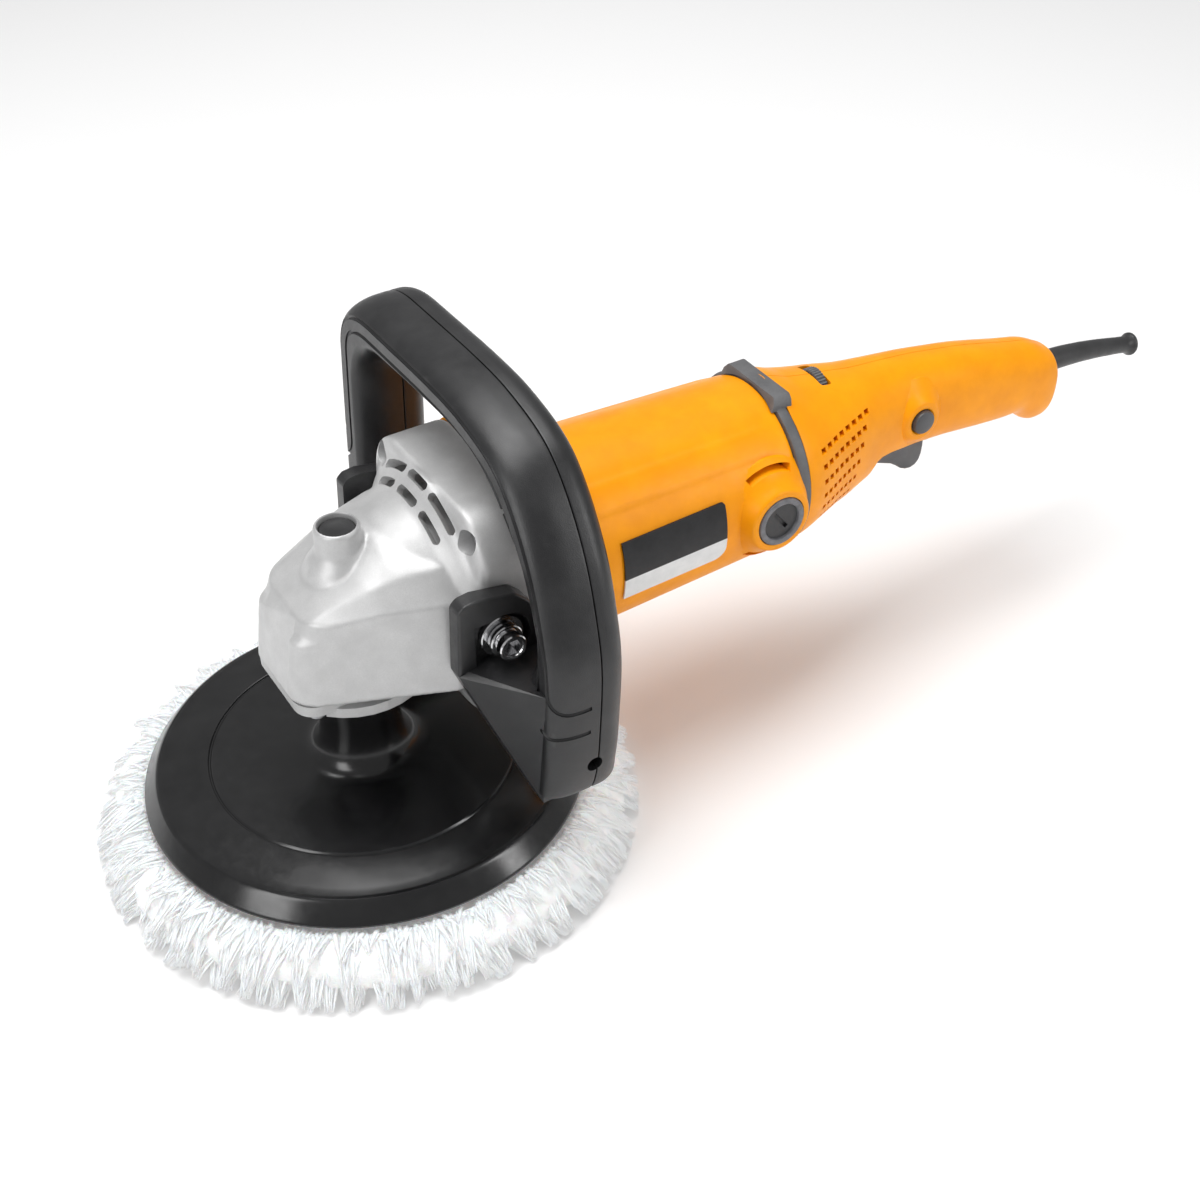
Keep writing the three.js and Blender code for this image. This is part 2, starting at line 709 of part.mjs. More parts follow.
// Laminated core with twelve winding slots, and the winding heads at its two ends.
function slottedCore() {
  const slots = 12;
  const slotFloor = 15;
  const points = [];
  for (let i = 0; i < slots; i += 1) {
    const middle = (2 * Math.PI * i) / slots;
    for (const [radius, angle] of [
      [CORE_RADIUS, -0.05], [slotFloor, -0.08], [slotFloor, 0.08], [CORE_RADIUS, 0.05],
    ]) {
      points.push([radius * Math.cos(middle + angle), radius * Math.sin(middle + angle)]);
    }
  }
  return shapeOf(points);
}
const coreGeometry = plateX(slottedCore(), CORE_FRONT, CORE_REAR);
coreGeometry.translate(0, 0, MOTOR_Z);
add(
  "armature_core",
  solid(coreGeometry)
    .add(
      solid(
        turnedX(
          [
            [0, 82], [13, 82], [17, 85], [17, CORE_FRONT + 1], [17, CORE_REAR - 1],
            [17, 142], [13, 146], [0, 146],
          ],
          MOTOR_Z,
        ),
      ),
    )
    .subtract(barX(ARMATURE_RADIUS + GAP, 80, 150, MOTOR_Z, 24)),
  copper,
);

const COMMUTATOR_RADIUS = 12;
const commutator = ringX(ARMATURE_RADIUS + GAP, COMMUTATOR_RADIUS, 164, 182, MOTOR_Z, 24).add(
  ringX(ARMATURE_RADIUS + GAP, COMMUTATOR_RADIUS + 1.6, 161.5, 164.2, MOTOR_Z, 24),
);
add("commutator", commutator, copper);

const FAN_RADIUS = 34;
const FAN_BLADES = 9;
let fan = barX(FAN_RADIUS, 78.5, 80.3, MOTOR_Z, 28).add(barX(10, 71, 80.3, MOTOR_Z, 24));
for (let i = 0; i < FAN_BLADES; i += 1) {
  const blade = box(71, 79, 8.5, FAN_RADIUS - 0.8, -0.8, 0.8);
  const geometry = geometryOf(blade);
  geometry.rotateX((2 * Math.PI * i) / FAN_BLADES);
  geometry.translate(0, 0, MOTOR_Z);
  fan = fan.add(solid(geometry));
}
add("cooling_fan", fan.subtract(barX(ARMATURE_RADIUS + GAP, 60, 90, MOTOR_Z, 24)), blackPlastic);

const COIL_INNER = 13;
const COIL_OUTER = 20;
const COIL_LOW = 23;
const COIL_HIGH = 29;
let stator = ringX(STATOR_INNER, STATOR_OUTER, CORE_FRONT, CORE_REAR, MOTOR_Z, 28);
for (const side of [-1, 1]) {
  const low = MOTOR_Z + (side > 0 ? COIL_LOW : -COIL_HIGH);
  const coil = box(82, 144, -COIL_OUTER, COIL_OUTER, low, low + COIL_HIGH - COIL_LOW).subtract(
    box(CORE_FRONT - GAP, CORE_REAR + GAP, -COIL_INNER, COIL_INNER, low - 1, low + 20),
  );
  for (const y of [-COIL_OUTER - GAP, COIL_INNER - GAP]) {
    stator = stator.subtract(
      box(
        CORE_FRONT - 1, CORE_REAR + 1, y, y + COIL_OUTER - COIL_INNER + 2 * GAP,
        low - GAP, low + COIL_HIGH - COIL_LOW + GAP,
      ),
    );
  }
  add(side > 0 ? "field_coil_upper" : "field_coil_lower", coil, copper);
}
add("stator_core", stator, laminations);

// Barrel: square flange at the front, a tapered drum, brush bosses and a rear bearing cup.
function barrelRadius(x) {
  const part = (x - BARREL_FRONT) / (BARREL_REAR - BARREL_FRONT);
  return BARREL_FRONT_RADIUS + part * (BARREL_REAR_RADIUS - BARREL_FRONT_RADIUS);
}
function barrelCone(offset, x0, x1) {
  return solid(
    turnedX(
      [[0, x0], [barrelRadius(x0) + offset, x0], [barrelRadius(x1) + offset, x1], [0, x1]],
      MOTOR_Z,
      32,
    ),
  );
}
const BRUSH_BOSS_RADIUS = 13.5;
const BRUSH_CAP_RADIUS = 11;
const CAP_OUTER_Y = 45;
const CAP_INNER_Y = 41.6;
const REAR_WALL = 184.4;
let barrel = barrelCone(0, BARREL_FRONT, BARREL_REAR)
  .add(solid(plateX(flangeShape, BARREL_FRONT, 73)))
  .add(solid(turnedX([[0, 70], [45, 70], [45, 73], [barrelRadius(84), 84], [0, 84]], MOTOR_Z, 32)));
for (const side of [-1, 1]) {
  const [inner, outer] = [30, CAP_OUTER_Y - 0.8];
  const boss = barY(BRUSH_BOSS_RADIUS, inner, outer, BRUSH_X, MOTOR_Z, 24);
  barrel = barrel.add(side > 0 ? boss : mirroredY(boss));
}
barrel = barrel
  .subtract(barrelCone(-BARREL_WALL, BARREL_FRONT - 1, REAR_WALL))
  .add(barX(13, REAR_WALL, REAR_BEARING_X + 7.2, MOTOR_Z, 28))
  .subtract(barX(9.5 + GAP, REAR_BEARING_X - GAP, REAR_BEARING_X + 9, MOTOR_Z, 28))
  .subtract(barX(ARMATURE_RADIUS + 0.8, REAR_WALL - 1, REAR_BEARING_X + 1, MOTOR_Z, 24));
const AIR_HOLES = 8;
for (let i = 0; i < AIR_HOLES; i += 1) {
  const angle = (2 * Math.PI * (i + 0.5)) / AIR_HOLES;
  const hole = barX(6, REAR_WALL - 2, BARREL_REAR + 2, MOTOR_Z + 24 * Math.sin(angle), 12,
    24 * Math.cos(angle));
  barrel = barrel.subtract(hole);
}
for (const [y, z] of FLANGE_SCREWS) {
  barrel = barrel.subtract(barX(SCREW_RADIUS + GAP, BARREL_FRONT - 1, 72.4, z, 8, y));
}
const HOLDER = { halfX: 6, halfZ: 5, inner: 15, outer: 40.8 };
const BRUSH = { halfX: 4, halfZ: 3, outer: 27 };
for (const side of [-1, 1]) {
  const name = side > 0 ? "left" : "right";
  const place = (manifold) => (side > 0 ? manifold : mirroredY(manifold));
  const boxAtBrush = (halfX, y0, y1, halfZ) =>
    box(BRUSH_X - halfX, BRUSH_X + halfX, y0, y1, MOTOR_Z - halfZ, MOTOR_Z + halfZ);
  barrel = barrel
    .subtract(place(barY(BRUSH_CAP_RADIUS + GAP, CAP_INNER_Y - GAP, 60, BRUSH_X, MOTOR_Z, 24)))
    .subtract(place(boxAtBrush(HOLDER.halfX + GAP, 20, CAP_INNER_Y, HOLDER.halfZ + GAP)));
  add(
    `brush_holder_${name}`,
    place(
      boxAtBrush(HOLDER.halfX, HOLDER.inner, HOLDER.outer, HOLDER.halfZ).subtract(
        boxAtBrush(BRUSH.halfX + GAP, 10, 50, BRUSH.halfZ + GAP),
      ),
    ),
    brass,
  );
  add(
    `carbon_brush_${name}`,
    place(boxAtBrush(BRUSH.halfX, COMMUTATOR_RADIUS + GAP, BRUSH.outer, BRUSH.halfZ)),
    graphite,
  );
  add(
    `brush_cap_${name}`,
    place(
      barY(BRUSH_CAP_RADIUS, CAP_INNER_Y, CAP_OUTER_Y, BRUSH_X, MOTOR_Z, 24).subtract(
        boxAtBrush(5, CAP_OUTER_Y - 1.2, 50, 0.9),
      ),
    ),
    blackPlastic,
  );
}
add("motor_housing", barrel, orangePlastic);

add(
  "name_plate",
  barrelCone(1.1, 90, 160)
    .subtract(barrelCone(GAP, 80, 170))
    .intersect(box(100, 149.6, -60, 0, 93.6, 119.8)),
  label,
);

// ---- bumper ring --------------------------------------------------------------------------
const BAND_RADIUS = 39;
const barShape = shapeOf([
  [-18.7, 136], [18.7, 136], [17.8, 142], [16, 144.4], [-16, 144.4], [-17.8, 142],
]);
add(
  "bumper_ring",
  barX(BAND_RADIUS, BARREL_REAR + GAP, HANDLE_FRONT - GAP, MOTOR_Z, 32)
    .add(solid(plateX(barShape, 184.8, 195.8)))
    .subtract(barX(30, 180, 200, MOTOR_Z, 24))
    .subtract(barX(BARREL_REAR_RADIUS + 2 * GAP, 180, BARREL_REAR + GAP, MOTOR_Z, 32))
    .subtract(barX(38 + GAP, HANDLE_FRONT - GAP, 200, MOTOR_Z, 32)),
  greyRubber,
);

// ---- rear handle --------------------------------------------------------------------------
// Sections along the grip: x, height of the centre, half width, half height, roundness (1 is round).
const GRIP_SECTIONS = [
  [HANDLE_FRONT, 105, 38, 38, 1], [201, 105, 36.5, 36.5, 1], [213, 105, 32, 33.5, 0.98],
  [226, 105.2, 27.5, 31, 0.95], [240, 106, 23, 27.5, 0.92], [255, 107.2, 19.5, 24.8, 0.9],
  [272, 107.6, 17.2, 22.4, 0.88], [300, 104, 16, 21, 0.87], [330, 98.5, 14.8, 18.8, 0.87],
  [348, 94.5, 13.8, 17.2, 0.87], [HANDLE_REAR, 93, 12, 15.5, 0.87],
];

function sectionAt(x) {
  let i = 0;
  while (i < GRIP_SECTIONS.length - 2 && x > GRIP_SECTIONS[i + 1][0]) i += 1;
  const [from, to] = [GRIP_SECTIONS[i], GRIP_SECTIONS[i + 1]];
  const part = (x - from[0]) / (to[0] - from[0]);
  return from.map((value, k) => value + part * (to[k] - value));
}

// A solid through those sections, drawn in by `inset` all round.
function grip(inset, x0, x1) {
  const rings = GRIP_SECTIONS.map(([x]) => x).filter((x) => x > x0 && x < x1);
  const stations = [x0, ...rings, x1];
  const geometry = new THREE.CylinderGeometry(1, 1, 1, 24, stations.length - 1);
  const positions = geometry.attributes.position;
  for (let k = 0; k < positions.count; k += 1) {
    const [c, s] = [positions.getX(k), positions.getZ(k)];
    const station = Math.round((0.5 - positions.getY(k)) * (stations.length - 1));
    const x = stations[station];
    const [, height, halfWidth, halfHeight, roundness] = sectionAt(x);
    const reach = Math.hypot(c, s) > 0.5 ? 1 : 0;
    const square = (value) => Math.sign(value) * Math.abs(value) ** roundness;
    positions.setXYZ(
      k,
      x,
      -reach * square(s) * (halfWidth - inset),
      height + reach * square(c) * (halfHeight - inset),
    );
  }
  return solid(geometry);
}

const BUTTON_X = 266;
const BUTTON_Z = 108;
const LOCK_ON_RADIUS = 5.5;
const DIAL = { x: 220.7, z: 130, radius: 8.6, half: 2.2 };
const GUARD_Z = 98;
const TRIGGER_HALF = 10;
let handle = grip(0, HANDLE_FRONT, HANDLE_REAR)
  .add(
    solid(
      plateY(
        shapeOf([[334, 84], [338, 76], [346, 72], [352, 72], [355, 78], [355, 92], [334, 92]]),
        -8,
        8,
      ),
    ),
  )
  .add(barY(8.6, -20.6, -8, BUTTON_X, BUTTON_Z, 20))
  .subtract(grip(SHELL_WALL, HANDLE_FRONT - 1, HANDLE_REAR - 3.5))
  .subtract(barY(LOCK_ON_RADIUS + GAP, -30, 0, BUTTON_X, BUTTON_Z, 20))
  .subtract(box(DIAL.x - 2.8, DIAL.x + 2.8, -8.2, 8.2, 120, 150))
  .subtract(box(242.6, 279.4, -TRIGGER_HALF - 0.4, TRIGGER_HALF + 0.4, 60, 100))
  .subtract(
    solid(
      plateY(
        shapeOf([
          [236, 60], [236, 70], [239.5, 84], [242.8, 91.2], [247, 91.2], [257, 88.6],
          [268, 86.3], [279.4, 85], [279.4, 60],
        ]),
        -30,
        30,
      ),
    ),
  )
  .subtract(barX(5.8, 340, 360, GUARD_Z, 24));
// Cooling-air slots in each flank, in rows that climb to the rear.
const AIR_ROWS = 6;
const AIR_FRONT = 203;
for (let row = 0; row < AIR_ROWS; row += 1) {
  const slot = box(0, 32 - 2.6 * row, -60, 60, -0.9, 0.9);
  const geometry = geometryOf(slot);
  geometry.rotateY(-0.08);
  geometry.translate(AIR_FRONT, 0, 121.4 - 6.9 * row);
  handle = handle.subtract(solid(geometry));
}
const half = (y0, y1) => handle.intersect(box(150, 400, y0, y1, 0, 200));
add("rear_handle_right", half(-60, -GAP / 2), orangePlastic);
add("rear_handle_left", half(GAP / 2, 60), orangePlastic);

add("switch_body", box(244, 290, -8, 8, 101.5, 117), blackPlastic);
add("speed_controller", box(226, 241, -12, 12, 104, 122), blackPlastic);
add(
  "speed_dial",
  barX(DIAL.radius, DIAL.x - DIAL.half, DIAL.x + DIAL.half, DIAL.z, 30),
  greyRubber,
);

const PIVOT_X = 247;
const PIVOT_Z = 94.5;
add(
  "trigger",
  solid(
    plateY(
      shapeOf([
        [250, 97.5], [245, 97.5], [243.2, 94.5], [246, 88.5], [254, 83.5], [262, 80.5],
        [267, 76.2], [272, 75], [276.5, 77.5], [278.3, 84], [278.3, 96],
      ]),
      -TRIGGER_HALF,
      TRIGGER_HALF,
    ),
  ).subtract(barY(1.5 + GAP, -12, 12, PIVOT_X, PIVOT_Z, 16)),
  greyRubber,
);
add("trigger_pin", barY(1.5, -13, 13, PIVOT_X, PIVOT_Z, 16), steel);
add(
  "lock_on_button",
  barY(LOCK_ON_RADIUS, -22.8, -13, BUTTON_X, BUTTON_Z, 24),
  blackPlastic,
);

// Cord guard: a tapering sleeve with a flared mouth, open for a cord of about 8 mm.
const guardLine = new THREE.CatmullRomCurve3([
  new THREE.Vector3(348, 0, GUARD_Z),
  new THREE.Vector3(362, 0, GUARD_Z),
  new THREE.Vector3(388, 0, 95),
  new THREE.Vector3(413, 0, 90),
]);
function sleeve(radiusAt, steps) {
  const geometry = new THREE.CylinderGeometry(1, 1, 1, 12, steps);
  const positions = geometry.attributes.position;
  for (let k = 0; k < positions.count; k += 1) {
    const [c, s] = [positions.getX(k), positions.getZ(k)];
    const t = Math.min(1, Math.max(0, 0.5 - positions.getY(k)));
    const centre = guardLine.getPointAt(t);
    const tangent = guardLine.getTangentAt(t);
    const radius = radiusAt(t);
    positions.setXYZ(
      k,
      centre.x - radius * c * tangent.z,
      -radius * s,
      centre.z + radius * c * tangent.x,
    );
  }
  return solid(geometry);
}
const GUARD_ROOT = 5.4;
const GUARD_TIP = 3.9;
const GUARD_MOUTH = 5.4;
const guardRadius = (t) =>
  t > 0.93 ? GUARD_TIP + ((t - 0.93) / 0.07) * (GUARD_MOUTH - GUARD_TIP)
    : GUARD_ROOT + (t / 0.93) * (GUARD_TIP - GUARD_ROOT);
add(
  "cord_guard",
  sleeve(guardRadius, 14)
    .add(barX(6.6, 347.2, 351, GUARD_Z, 16))
    .subtract(sleeve((t) => (t > 0.93 ? 2.6 + (t - 0.93) * 20 : 2.6), 14))
    .subtract(barX(2.6, 340, 349, GUARD_Z, 12))
    .subtract(barX(4, 412, 420, 90, 12)),
  darkRubber,
);
add("cord_clamp", box(334, 342, -7, 7, 91, 95), blackPlastic);

// ---- loop handle --------------------------------------------------------------------------
// Outline in (y, z), seen from behind: a steep shoulder on the left, a long one on the right.
function loopOutline() {
  const shape = new THREE.Shape();
  shape.moveTo(-45.3, 84);
  shape.lineTo(-74, 48.5);
  shape.quadraticCurveTo(-76, 46.5, -80, 47);
  shape.lineTo(-84.5, 49);
  shape.quadraticCurveTo(-88, 56, -88, 72);
  shape.splineThru([
    new THREE.Vector2(-86.5, 105), new THREE.Vector2(-80, 127), new THREE.Vector2(-70, 147.6),
    new THREE.Vector2(-55, 166.6), new THREE.Vector2(-38, 179), new THREE.Vector2(-12, 185.6),
    new THREE.Vector2(14, 187.4), new THREE.Vector2(50, 187.2),
  ]);
  shape.lineTo(66, 187);
  shape.bezierCurveTo(83, 186.6, 96.5, 180, 97, 162);
  shape.lineTo(91, 92);
  shape.quadraticCurveTo(89, 56, 84.5, 49);
  shape.lineTo(80, 47);
  shape.quadraticCurveTo(76, 46.5, 74, 48.5);
  shape.lineTo(45.3, 84);
  shape.lineTo(45.3, 100);
  shape.lineTo(58, 100);
  shape.quadraticCurveTo(70, 100, 72, 114);
  shape.lineTo(75, 150);
  shape.quadraticCurveTo(75, 167, 58, 168);
  shape.lineTo(30, 169);
  shape.splineThru([
    new THREE.Vector2(-1, 169), new THREE.Vector2(-24, 165), new THREE.Vector2(-45, 151),
    new THREE.Vector2(-57, 138), new THREE.Vector2(-67, 118.5),
  ]);
  shape.quadraticCurveTo(-71, 100, -58, 100);
  shape.lineTo(-45.3, 100);
  return shape;
}
const CROWN_DEPTH = 8;
const CROWN_INSET = 5;
const loopBody = solid(
  plateX(loopOutline(), LOOP_FRONT + CROWN_DEPTH, LOOP_REAR - CROWN_DEPTH, {
    bevelEnabled: true,
    bevelThickness: CROWN_DEPTH,
    bevelSize: CROWN_INSET,
    bevelOffset: -CROWN_INSET,
    bevelSegments: 2,
    curveSegments: 3,
  }),
).intersect(box(0, 100, -100, 100, 0, 200));

function leaned(manifold) {
  const geometry = geometryOf(manifold);
  geometry.applyMatrix4(
    new THREE.Matrix4().set(
      1, 0, LOOP_LEAN, -LOOP_LEAN * LOOP_LEAN_Z,
      0, 1, 0, 0,
      0, 0, 1, 0,
      0, 0, 0, 1,
    ),
  );
  return solid(geometry);
}
const clearOfHead = box(0, 100, -45.3, 45.3, 60, 160);
let loopFront = leaned(loopBody.intersect(box(0, LOOP_SPLIT, -100, 100, 0, 200)));
let loopRear = leaned(loopBody.intersect(box(LOOP_SPLIT + GAP, 100, -100, 100, 0, 200)));
const bracketShape = shapeOf([
  [20.5, 98], [27, 84], [56, 84], [56, 110], [54, 117], [46, 127], [26, 130], [22, 128],
]);
const WASHER_SEAT = 48.2;
const WASHER_RADIUS = 9;
const FOOT_TOP = 99.4;
const bracket = solid(plateY(bracketShape, 45.3, 52.3));
// The foot widens forward from the arm to meet the bracket.
const footHull = [
  ...[45.4, 52.3].flatMap((y) => [
    [20.5, y, 98], [24.1, y, FOOT_TOP], [27, y, 84], [56, y, 84], [56, y, FOOT_TOP],
  ]),
  ...[74, 80.8].flatMap((y) => [
    [38.3, y, 47.4], [55.6, y, 47.4], [57, y, FOOT_TOP], [41, y, FOOT_TOP],
  ]),
];
const foot = solid(new ConvexGeometry(footHull.map(([x, y, z]) => new THREE.Vector3(x, y, z))));
const POCKET_RADIUS = 10.8;
const boltPocket = barY(POCKET_RADIUS, WASHER_SEAT, 60, BOLT_X, BOLT_Z, 24).add(
  box(28, BOLT_X, WASHER_SEAT, 60, FOOT_TOP, BOLT_Z + POCKET_RADIUS - 1),
).intersect(box(0, 100, 0, 100, FOOT_TOP, 160));
const boltHole = barY(4 + GAP, 40, 60, BOLT_X, BOLT_Z, 20);
for (const place of [(manifold) => manifold, mirroredY]) {
  loopFront = loopFront
    .add(place(bracket))
    .add(place(foot))
    .subtract(place(boltPocket))
    .subtract(place(boltHole));
  loopRear = loopRear.subtract(place(boltPocket));
}
add("loop_handle_front", loopFront.subtract(clearOfHead), blackPlastic);
add("loop_handle_rear", loopRear.subtract(clearOfHead), blackPlastic);

const bolt = barY(4, 27, 54, BOLT_X, BOLT_Z, 20)
  .add(barY(6.8, 51.3, 54.6, BOLT_X, BOLT_Z, 20))
  .add(barY(5.6, 54, 59.6, BOLT_X, BOLT_Z, 20))
  .subtract(barY(3.4, 56, 70, BOLT_X, BOLT_Z, 6));
const washer = barY(WASHER_RADIUS, WASHER_SEAT + GAP, 51, BOLT_X, BOLT_Z, 20).subtract(
  barY(4 + GAP, 40, 60, BOLT_X, BOLT_Z, 20),
);
add("handle_bolt_left", bolt, chrome);
add("handle_bolt_right", mirroredY(bolt), chrome);
add("handle_washer_left", washer, chrome);
add("handle_washer_right", mirroredY(washer), chrome);

export default group;
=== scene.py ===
import math
import random

import bmesh
import bpy
import numpy as np
from mathutils import Matrix, Vector, noise


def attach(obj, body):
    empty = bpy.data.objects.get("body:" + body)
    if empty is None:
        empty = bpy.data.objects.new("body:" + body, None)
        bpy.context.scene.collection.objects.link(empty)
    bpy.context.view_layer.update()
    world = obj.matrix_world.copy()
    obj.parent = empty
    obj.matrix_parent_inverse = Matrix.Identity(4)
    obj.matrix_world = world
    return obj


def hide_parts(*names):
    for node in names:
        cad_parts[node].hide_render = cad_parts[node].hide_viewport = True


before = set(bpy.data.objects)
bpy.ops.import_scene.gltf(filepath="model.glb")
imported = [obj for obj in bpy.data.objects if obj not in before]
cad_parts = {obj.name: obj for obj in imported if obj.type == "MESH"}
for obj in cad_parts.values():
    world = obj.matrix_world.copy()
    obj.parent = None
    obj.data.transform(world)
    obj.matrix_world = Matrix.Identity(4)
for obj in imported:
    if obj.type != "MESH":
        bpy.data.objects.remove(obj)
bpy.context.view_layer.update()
MM = 0.001
TAU = 2 * math.pi

# ---- Studio ----------------------------------------------------------------------------------
# A pale floor under soft overhead light, with the camera high on the pad's side. The polisher
# rests on its bonnet and nothing holds it.
YAW, PITCH, ROLL = (math.radians(a) for a in (-30.96, 38.46, -0.96))
back = Vector((math.sin(YAW) * math.cos(PITCH), -math.cos(YAW) * math.cos(PITCH), math.sin(PITCH)))
level = Vector((math.cos(YAW), math.sin(YAW), 0))
upright = back.cross(level)
camera_x = math.cos(ROLL) * level + math.sin(ROLL) * upright
camera_y = math.cos(ROLL) * upright - math.sin(ROLL) * level
camera_data = bpy.data.cameras.new("camera")
camera_data.lens = 54.07
camera_data.sensor_width = 36
camera = bpy.data.objects.new("camera", camera_data)
camera.matrix_world = Matrix.Translation(Vector((-0.195, -0.514, 0.5364))) @ Matrix(
    (camera_x, camera_y, back)
).transposed().to_4x4()
bpy.context.scene.collection.objects.link(camera)
bpy.context.scene.camera = camera
bpy.context.scene.view_settings.view_transform = "Standard"


def studio_light(name, place, aim, size, watts):
    data = bpy.data.lights.new(name, "AREA")
    data.shape = "RECTANGLE"
    data.size, data.size_y = size
    data.energy = watts
    lamp = bpy.data.objects.new(name, data)
    lamp.matrix_world = (
        Matrix.Translation(Vector(place))
        @ (Vector(place) - Vector(aim)).to_track_quat("Z", "Y").to_matrix().to_4x4()
    )
    bpy.context.scene.collection.objects.link(lamp)


studio_light("overhead_softbox", (0.05, 0.25, 1.5), (0.1, 0, 0.1), (1.3, 0.9), 19)
studio_light("side_softbox", (-1.2, -0.35, 0.75), (0.05, 0, 0.1), (0.5, 0.8), 6.5)
studio_light("rear_strip", (1.0, -1.1, 0.8), (0.1, 0, 0.1), (0.25, 1.0), 6)

world = bpy.data.worlds.new("studio")
world.use_nodes = True
sky = world.node_tree.nodes["Background"].inputs
sky["Color"].default_value = (1, 1, 1, 1)
sky["Strength"].default_value = 0.38
bpy.context.scene.world = world


def new_piece(name, points, faces):
    """A smooth-shaded mesh object from points in millimetres."""
    mesh = bpy.data.meshes.new(name)
    mesh.from_pydata([tuple(float(c) * MM for c in p) for p in points], [], faces)
    mesh.validate()
    mesh.shade_smooth()
    piece = bpy.data.objects.new(name, mesh)
    bpy.context.scene.collection.objects.link(piece)
    return piece


FLOOR_HALF = 4000
floor = new_piece(
    "floor",
    [(x * FLOOR_HALF, y * FLOOR_HALF, -0.2) for x, y in ((-1, -1), (1, -1), (1, 1), (-1, 1))],
    [(0, 1, 2, 3)],
)
floor_paint = bpy.data.materials.new("floor_paint")
floor_paint.use_nodes = True
paint = floor_paint.node_tree.nodes["Principled BSDF"].inputs
paint["Base Color"].default_value = (0.93, 0.93, 0.93, 1)
paint["Roughness"].default_value = 0.8
floor.data.materials.append(floor_paint)


# ---- Wool bonnet -----------------------------------------------------------------------------
# A disc of real lambswool, hide side up, that grips the pad's hook face. The fleece sticks out
# all round in matted locks that droop to the work.
class Finish:
    """A material with its node tree at hand, drawn in the row frame's own metres."""

    def __init__(self, name, **shine):
        self.material = bpy.data.materials.new(name)
        self.material.use_nodes = True
        self.tree = self.material.node_tree
        self.shader = self.tree.nodes["Principled BSDF"]
        self.place = self.tree.nodes.new("ShaderNodeTexCoord").outputs["Object"]
        for socket, value in shine.items():
            title = socket.replace("_", " ").title().replace("Ior", "IOR")
            self.shader.inputs[title].default_value = value

    def node(self, kind, inputs=(), **settings):
        made = self.tree.nodes.new("ShaderNode" + kind)
        for key, value in settings.items():
            setattr(made, key, value)
        for socket, value in dict(inputs).items():
            if isinstance(value, bpy.types.NodeSocket):
                self.tree.links.new(value, made.inputs[socket])
            else:
                made.inputs[socket].default_value = value
        return made

    def grain(self, size, detail=3, rough=0.6, stretch=(1, 1, 1)):
        """Cloudy noise whose blots are about `size` mm across."""
        moved = self.node("Mapping", {"Vector": self.place, "Scale": stretch})
        made = self.node(
            "TexNoise",
            {
                "Vector": moved.outputs["Vector"], "Scale": 1 / (size * MM),
                "Detail": detail, "Roughness": rough,
            },
        )
        return made.outputs["Fac"]

    def ramp(self, value, stops):
        made = self.node("ValToRGB", {"Fac": value})
        ramp = made.color_ramp
        while len(ramp.elements) < len(stops):
            ramp.elements.new(0.5)
        for element, (at, colour) in zip(ramp.elements, stops):
            element.position = at
            element.color = (*colour, 1) if len(colour) == 3 else colour
        return made.outputs["Color"]

    def span(self, value, low, high, out_low, out_high):
        return self.node(
            "MapRange",
            {
                "Value": value, "From Min": low, "From Max": high,
                "To Min": out_low, "To Max": out_high,
            },
        ).outputs["Result"]

    def blend(self, share, one, other):
        made = self.node("Mix", data_type="RGBA")
        for index, value in ((0, share), (6, one), (7, other)):
            if isinstance(value, bpy.types.NodeSocket):
                self.tree.links.new(value, made.inputs[index])
            else:
                made.inputs[index].default_value = value if index == 0 else (*value, 1)
        return made.outputs[2]

    def sum(self, one, other, operation="ADD"):
        return self.node("Math", {0: one, 1: other}, operation=operation).outputs[0]

    def attribute(self, name):
        return self.node("Attribute", attribute_name=name).outputs["Fac"]

    def wire(self, socket, value):
        self.tree.links.new(value, self.shader.inputs[socket])

    def bumps(self, *layers):
        """Stacked bump: (height, depth in mm) for each layer."""
        normal = None
        for height, depth in layers:
            made = self.node("Bump", {"Height": height, "Strength": 1.0, "Distance": depth * MM})
            if normal is not None:
                self.tree.links.new(normal, made.inputs["Normal"])
            normal = made.outputs["Normal"]
        self.wire("Normal", normal)


def dress(piece, finish, body, slot, *nodes):
    """Gives a piece its finish and its body, and hides the CAD nodes it stands for; the slot only
    keeps wool from sharp edges and weighted normals.
    """
    piece.data.materials.clear()
    piece.data.materials.append(finish.material)
    if slot != "wool":
        piece.data.set_sharp_from_angle(angle=math.radians(34))
        even = piece.modifiers.new("even", "WEIGHTED_NORMAL")
        even.keep_sharp = True
    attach(piece, body)
    if nodes:
        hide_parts(*nodes)
    return piece


def turned(name, profile, axis="z", centre=(0, 0), around=96):
    """A closed shape turned about an axis: profile is (radius, place along the axis), in mm."""
    points, rings = [], []
    for radius, along in profile:
        if radius < 1e-6:
            rings.append([len(points)])
            points.append((0, 0, along))
        else:
            rings.append(list(range(len(points), len(points) + around)))
            points += [
                (radius * math.cos(TAU * k / around), radius * math.sin(TAU * k / around), along)
                for k in range(around)
            ]
    faces = []
    for low, high in zip(rings, rings[1:] + rings[:1]):
        if len(low) == 1 and len(high) == 1:
            continue
        for k in range(around):
            k2 = (k + 1) % around
            if len(low) == 1:
                faces.append((low[0], high[k2], high[k]))
            elif len(high) == 1:
                faces.append((low[k], low[k2], high[0]))
            else:
                faces.append((low[k], low[k2], high[k2], high[k]))
    first, second = centre
    turn = {
        "x": lambda p: (p[2], first + p[0], second + p[1]),
        "y": lambda p: (first + p[1], p[2], second + p[0]),
        "z": lambda p: (first + p[0], second + p[1], p[2]),
    }[axis]
    return new_piece(name, [turn(p) for p in points], faces)


